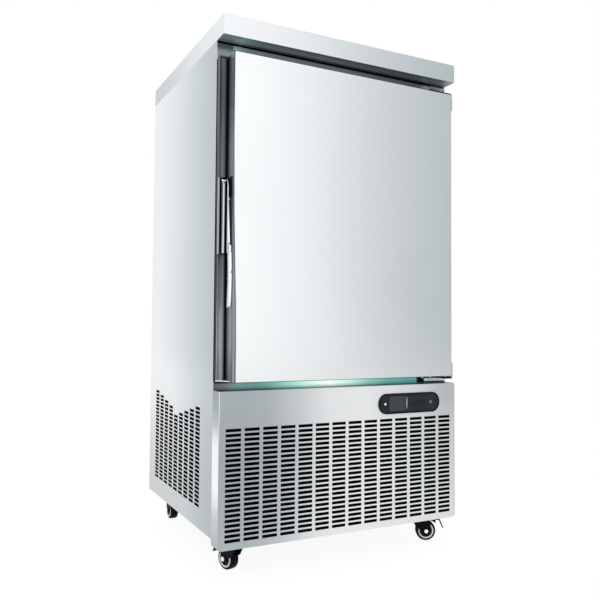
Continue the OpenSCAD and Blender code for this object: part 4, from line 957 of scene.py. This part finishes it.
def make_casters():
    """Wheels turned as tyre, rim ring and hub, with their axle nuts."""
    for corner in CORNERS:
        at, axle = joint_line(corner + "_roll")
        tyre, hub, rim, nut = bmesh.new(), bmesh.new(), bmesh.new(), bmesh.new()
        for bm, half_profile in ((tyre, TYRE_HALF), (hub, HUB_HALF)):
            mirrored = [(r, -h) for r, h in reversed(half_profile)]
            lathe(bm, at, axle, in_mm(half_profile + mirrored + half_profile[:1]), 96)
        for side in (-1, 1):
            d = axle * side
            lathe(rim, at + d * WHEEL_FACE_MM * MM, d, in_mm(RIM), 96)
            lathe(nut, at + d * NUT_SEAT_MM * MM, d, in_mm(NUT), 36,
                  lambda i, a: hexagon(a) if i < NUT_FLATS else 1.0)
        body = corner + "_wheel"
        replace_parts(settle(corner + "_tyre", tyre, "tyre", body), corner + "_wheel")
        settle(corner + "_rim_ring", rim, "white_plastic", body)
        settle(corner + "_hub", hub, "black_plastic", body)
        # The axle nuts glow with a painted glint, though they are no lamp
        settle(corner + "_axle_nut", nut, "zinc_painted_glint", corner + "_swivel")


# ------------------------------------------------------------------ fasteners


def make_screws():
    """Screws of the hinges, keeper and inner plates."""
    hinge_lo, hinge_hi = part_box("hinge_brackets")
    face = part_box("face_frame")[0].y
    leg = face - 5 * MM
    low_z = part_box("door_frame")[0].z - 8 * MM
    bm = bmesh.new()
    for dx in (30, 60, 92):
        screw(bm, (hinge_hi.x - dx * MM, leg, low_z), (0, -1, 0), 5.0)
    high_z = hinge_hi.z - 20 * MM
    for dx in (18, 46):
        screw(bm, (hinge_hi.x - dx * MM, leg, high_z), (0, -1, 0), 4.5)
    settle("hinge_screws", bm, "zinc", "cabinet")

    keeper_lo, keeper_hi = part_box("latch_keeper")
    bm = bmesh.new()
    for z in (keeper_lo.z + 12 * MM, keeper_hi.z - 12 * MM):
        screw(bm, (keeper_hi.x - 9 * MM, face - 3 * MM, z), (0, -1, 0), 4.0)
    settle("keeper_screws", bm, "zinc", "cabinet")

    lo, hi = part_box("fan_baffle")
    bm = bmesh.new()
    from_end, from_side, per_side = 40 * MM, 16 * MM, 4
    for sx in (-1, 1):
        for k in range(per_side):
            z = lo.z + from_end + (hi.z - lo.z - 2 * from_end) * k / (per_side - 1)
            screw(bm, (sx * (hi.x - from_side), lo.y, z), (0, -1, 0), 4.5)
    settle("baffle_screws", bm, "zinc", "cabinet")

    at = joint_line("latch_pull")[0]
    at.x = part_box("latch_lever")[1].x
    bm = bmesh.new()
    lathe(bm, at, (1, 0, 0), in_mm([(7.4, -0.3), (7.4, 0.25), (5.92, 0.5), (0.0, 0.55)]), 40)
    settle("lever_boss_cap", bm, "chrome", "latch_handle")


# ------------------------------------------------------------------ stage and light


# Brightness of the mirrored studio by bearing, in degrees to the right of the viewer's side
WALLS = [(-180, 0.79), (-150, 0.77), (-141, 0.72), (-137, 0.10), (-130, 0.10), (-126, 0.83), (-98, 0.90),
         (-94, 0.20), (-88, 0.20), (-84, 0.90), (-62, 0.87), (-57, 0.12), (-47, 0.12), (-42, 0.84),
         (-20, 0.78), (4, 0.78), (14, 0.98), (16, 1.0), (23, 1.0), (26, 0.94), (28, 0.84), (31, 0.67),
         (35, 0.49), (39, 0.42), (50, 0.38), (62, 0.49), (90, 0.76), (118, 0.79), (124, 0.25), (132, 0.25),
         (138, 0.79), (180, 0.79)]
WALL_STRENGTH = 1.18
AMBIENT_STRENGTH = 0.75


def wall_color(tree, direction):
    """Colour of the mirrored studio in a direction, in any node tree."""
    behind = tree.math("MULTIPLY", tree.part(direction, "Y"), -1.0)
    bearing = tree.math("ARCTAN2", tree.part(direction, "X"), behind)
    return tree.ramp(bearing, [(math.radians(at), cool(grey)) for at, grey in WALLS])


def make_world():
    """White studio. Mirrored, it falls off softly to the right of the viewer and to the left of the side."""
    world = bpy.data.worlds.new("studio")
    bpy.context.scene.world = world
    world.use_nodes = True
    world.node_tree.nodes.clear()
    tree = Nodes(world.node_tree)
    ambient = tree.light("Background", WHITE, AMBIENT_STRENGTH)
    walls = wall_color(tree, tree.node("ShaderNodeTexCoord").outputs["Generated"])
    mirrored = tree.light("Background", walls, WALL_STRENGTH)
    path = tree.node("ShaderNodeLightPath")
    unseen = tree.blend(path.outputs["Is Glossy Ray"], ambient, mirrored)
    seen = tree.blend(path.outputs["Is Camera Ray"], unseen, tree.light("Background", WHITE, 1.0))
    tree.join(seen, tree.node("ShaderNodeOutputWorld").inputs["Surface"])


FLOOR_HALF = 14.0
# Distances over which the mirrored floor pales, and then takes the colour of the walls
FLOOR_PALES = (1.2, 7.0)
FLOOR_MEETS_WALLS = (4.0, 7.0)
FLOOR_WHITE_SHARE = 0.88
FLOOR_WHITE_STRENGTH = 1.06


def make_floor():
    """White floor that keeps a faint shadow; mirrored, it is a mid grey near the object."""
    mesh = bpy.data.meshes.new("floor")
    h = FLOOR_HALF
    mesh.from_pydata([(-h, -h, 0), (h, -h, 0), (h, h, 0), (-h, h, 0)], [], [(0, 1, 2, 3)])
    floor = link(bpy.data.objects.new("floor", mesh))
    s = Surface("floor", (0.85, 0.85, 0.85), roughness=0.8)
    mesh.materials.append(s.mat)
    shaded = s.shader.outputs["BSDF"]
    length = s.node("ShaderNodeVectorMath", operation="LENGTH")
    s.join(s.place(), length.inputs[0])
    far = length.outputs["Value"]
    near = s.tint(s.span(far, 0.0, 1.0, *FLOOR_PALES), (0.62, 0.645, 0.655), WHITE)
    wall = s.dim(wall_color(s, s.place()), WALL_STRENGTH)
    mirrored = s.light("Emission", s.tint(s.span(far, 0.0, 1.0, *FLOOR_MEETS_WALLS), near, wall), 1.0)
    whitened = s.blend(FLOOR_WHITE_SHARE, shaded, s.light("Emission", WHITE, FLOOR_WHITE_STRENGTH))
    path = s.node("ShaderNodeLightPath")
    seen = s.blend(path.outputs["Is Camera Ray"], shaded, whitened)
    surface = s.blend(path.outputs["Is Glossy Ray"], seen, mirrored)
    s.join(surface, s.tree.nodes["Material Output"].inputs["Surface"])


def make_lamps():
    def area(name, at, aim, size, watts):
        data = bpy.data.lights.new(name, "AREA")
        data.shape = "RECTANGLE"
        data.size, data.size_y = size
        data.energy = watts
        lamp = link(bpy.data.objects.new(name, data))
        lamp.location = at
        lamp.rotation_euler = (Vector(aim) - Vector(at)).to_track_quat("-Z", "Y").to_euler()
        lamp.visible_glossy = False

    area("key", (-2.6, -3.2, 3.4), (0, 0, 0.8), (2.4, 2.4), 55.0)
    area("back", (0.6, 3.0, 2.8), (0, 0, 0.8), (2.4, 1.6), 20.0)


# ------------------------------------------------------------------ build

# Width of the small bevel on a node's edges
SOFT_EDGES_MM = {
    "door_outer_pan": 0.8, "lower_front_panel": 0.5, "top_cap": 0.7, "latch_cover": 0.9, "latch_lever": 2.4,
    "latch_backplate": 0.5, "hinge_brackets": 0.8, "hinge_blocks": 1.5, "rail_end_caps": 1.0,
    "electric_box": 0.9, "control_bezel": 0.6, "power_button": 0.4, "mode_button": 0.3,
    "front_left_brake": 0.9, "front_right_brake": 0.9, "front_left_fork": 1.0, "front_right_fork": 1.0,
    "rear_left_fork": 1.0, "rear_right_fork": 1.0, "caster_plates": 0.5,
}

make_camera()
dress_nodes()
for soft_node, soft_width in SOFT_EDGES_MM.items():
    soften(soft_node, soft_width)
make_gasket()
make_control_panel()
make_filters()
make_casters()
make_screws()
make_world()
make_floor()
make_lamps()
bpy.context.scene.view_settings.view_transform = "Standard"
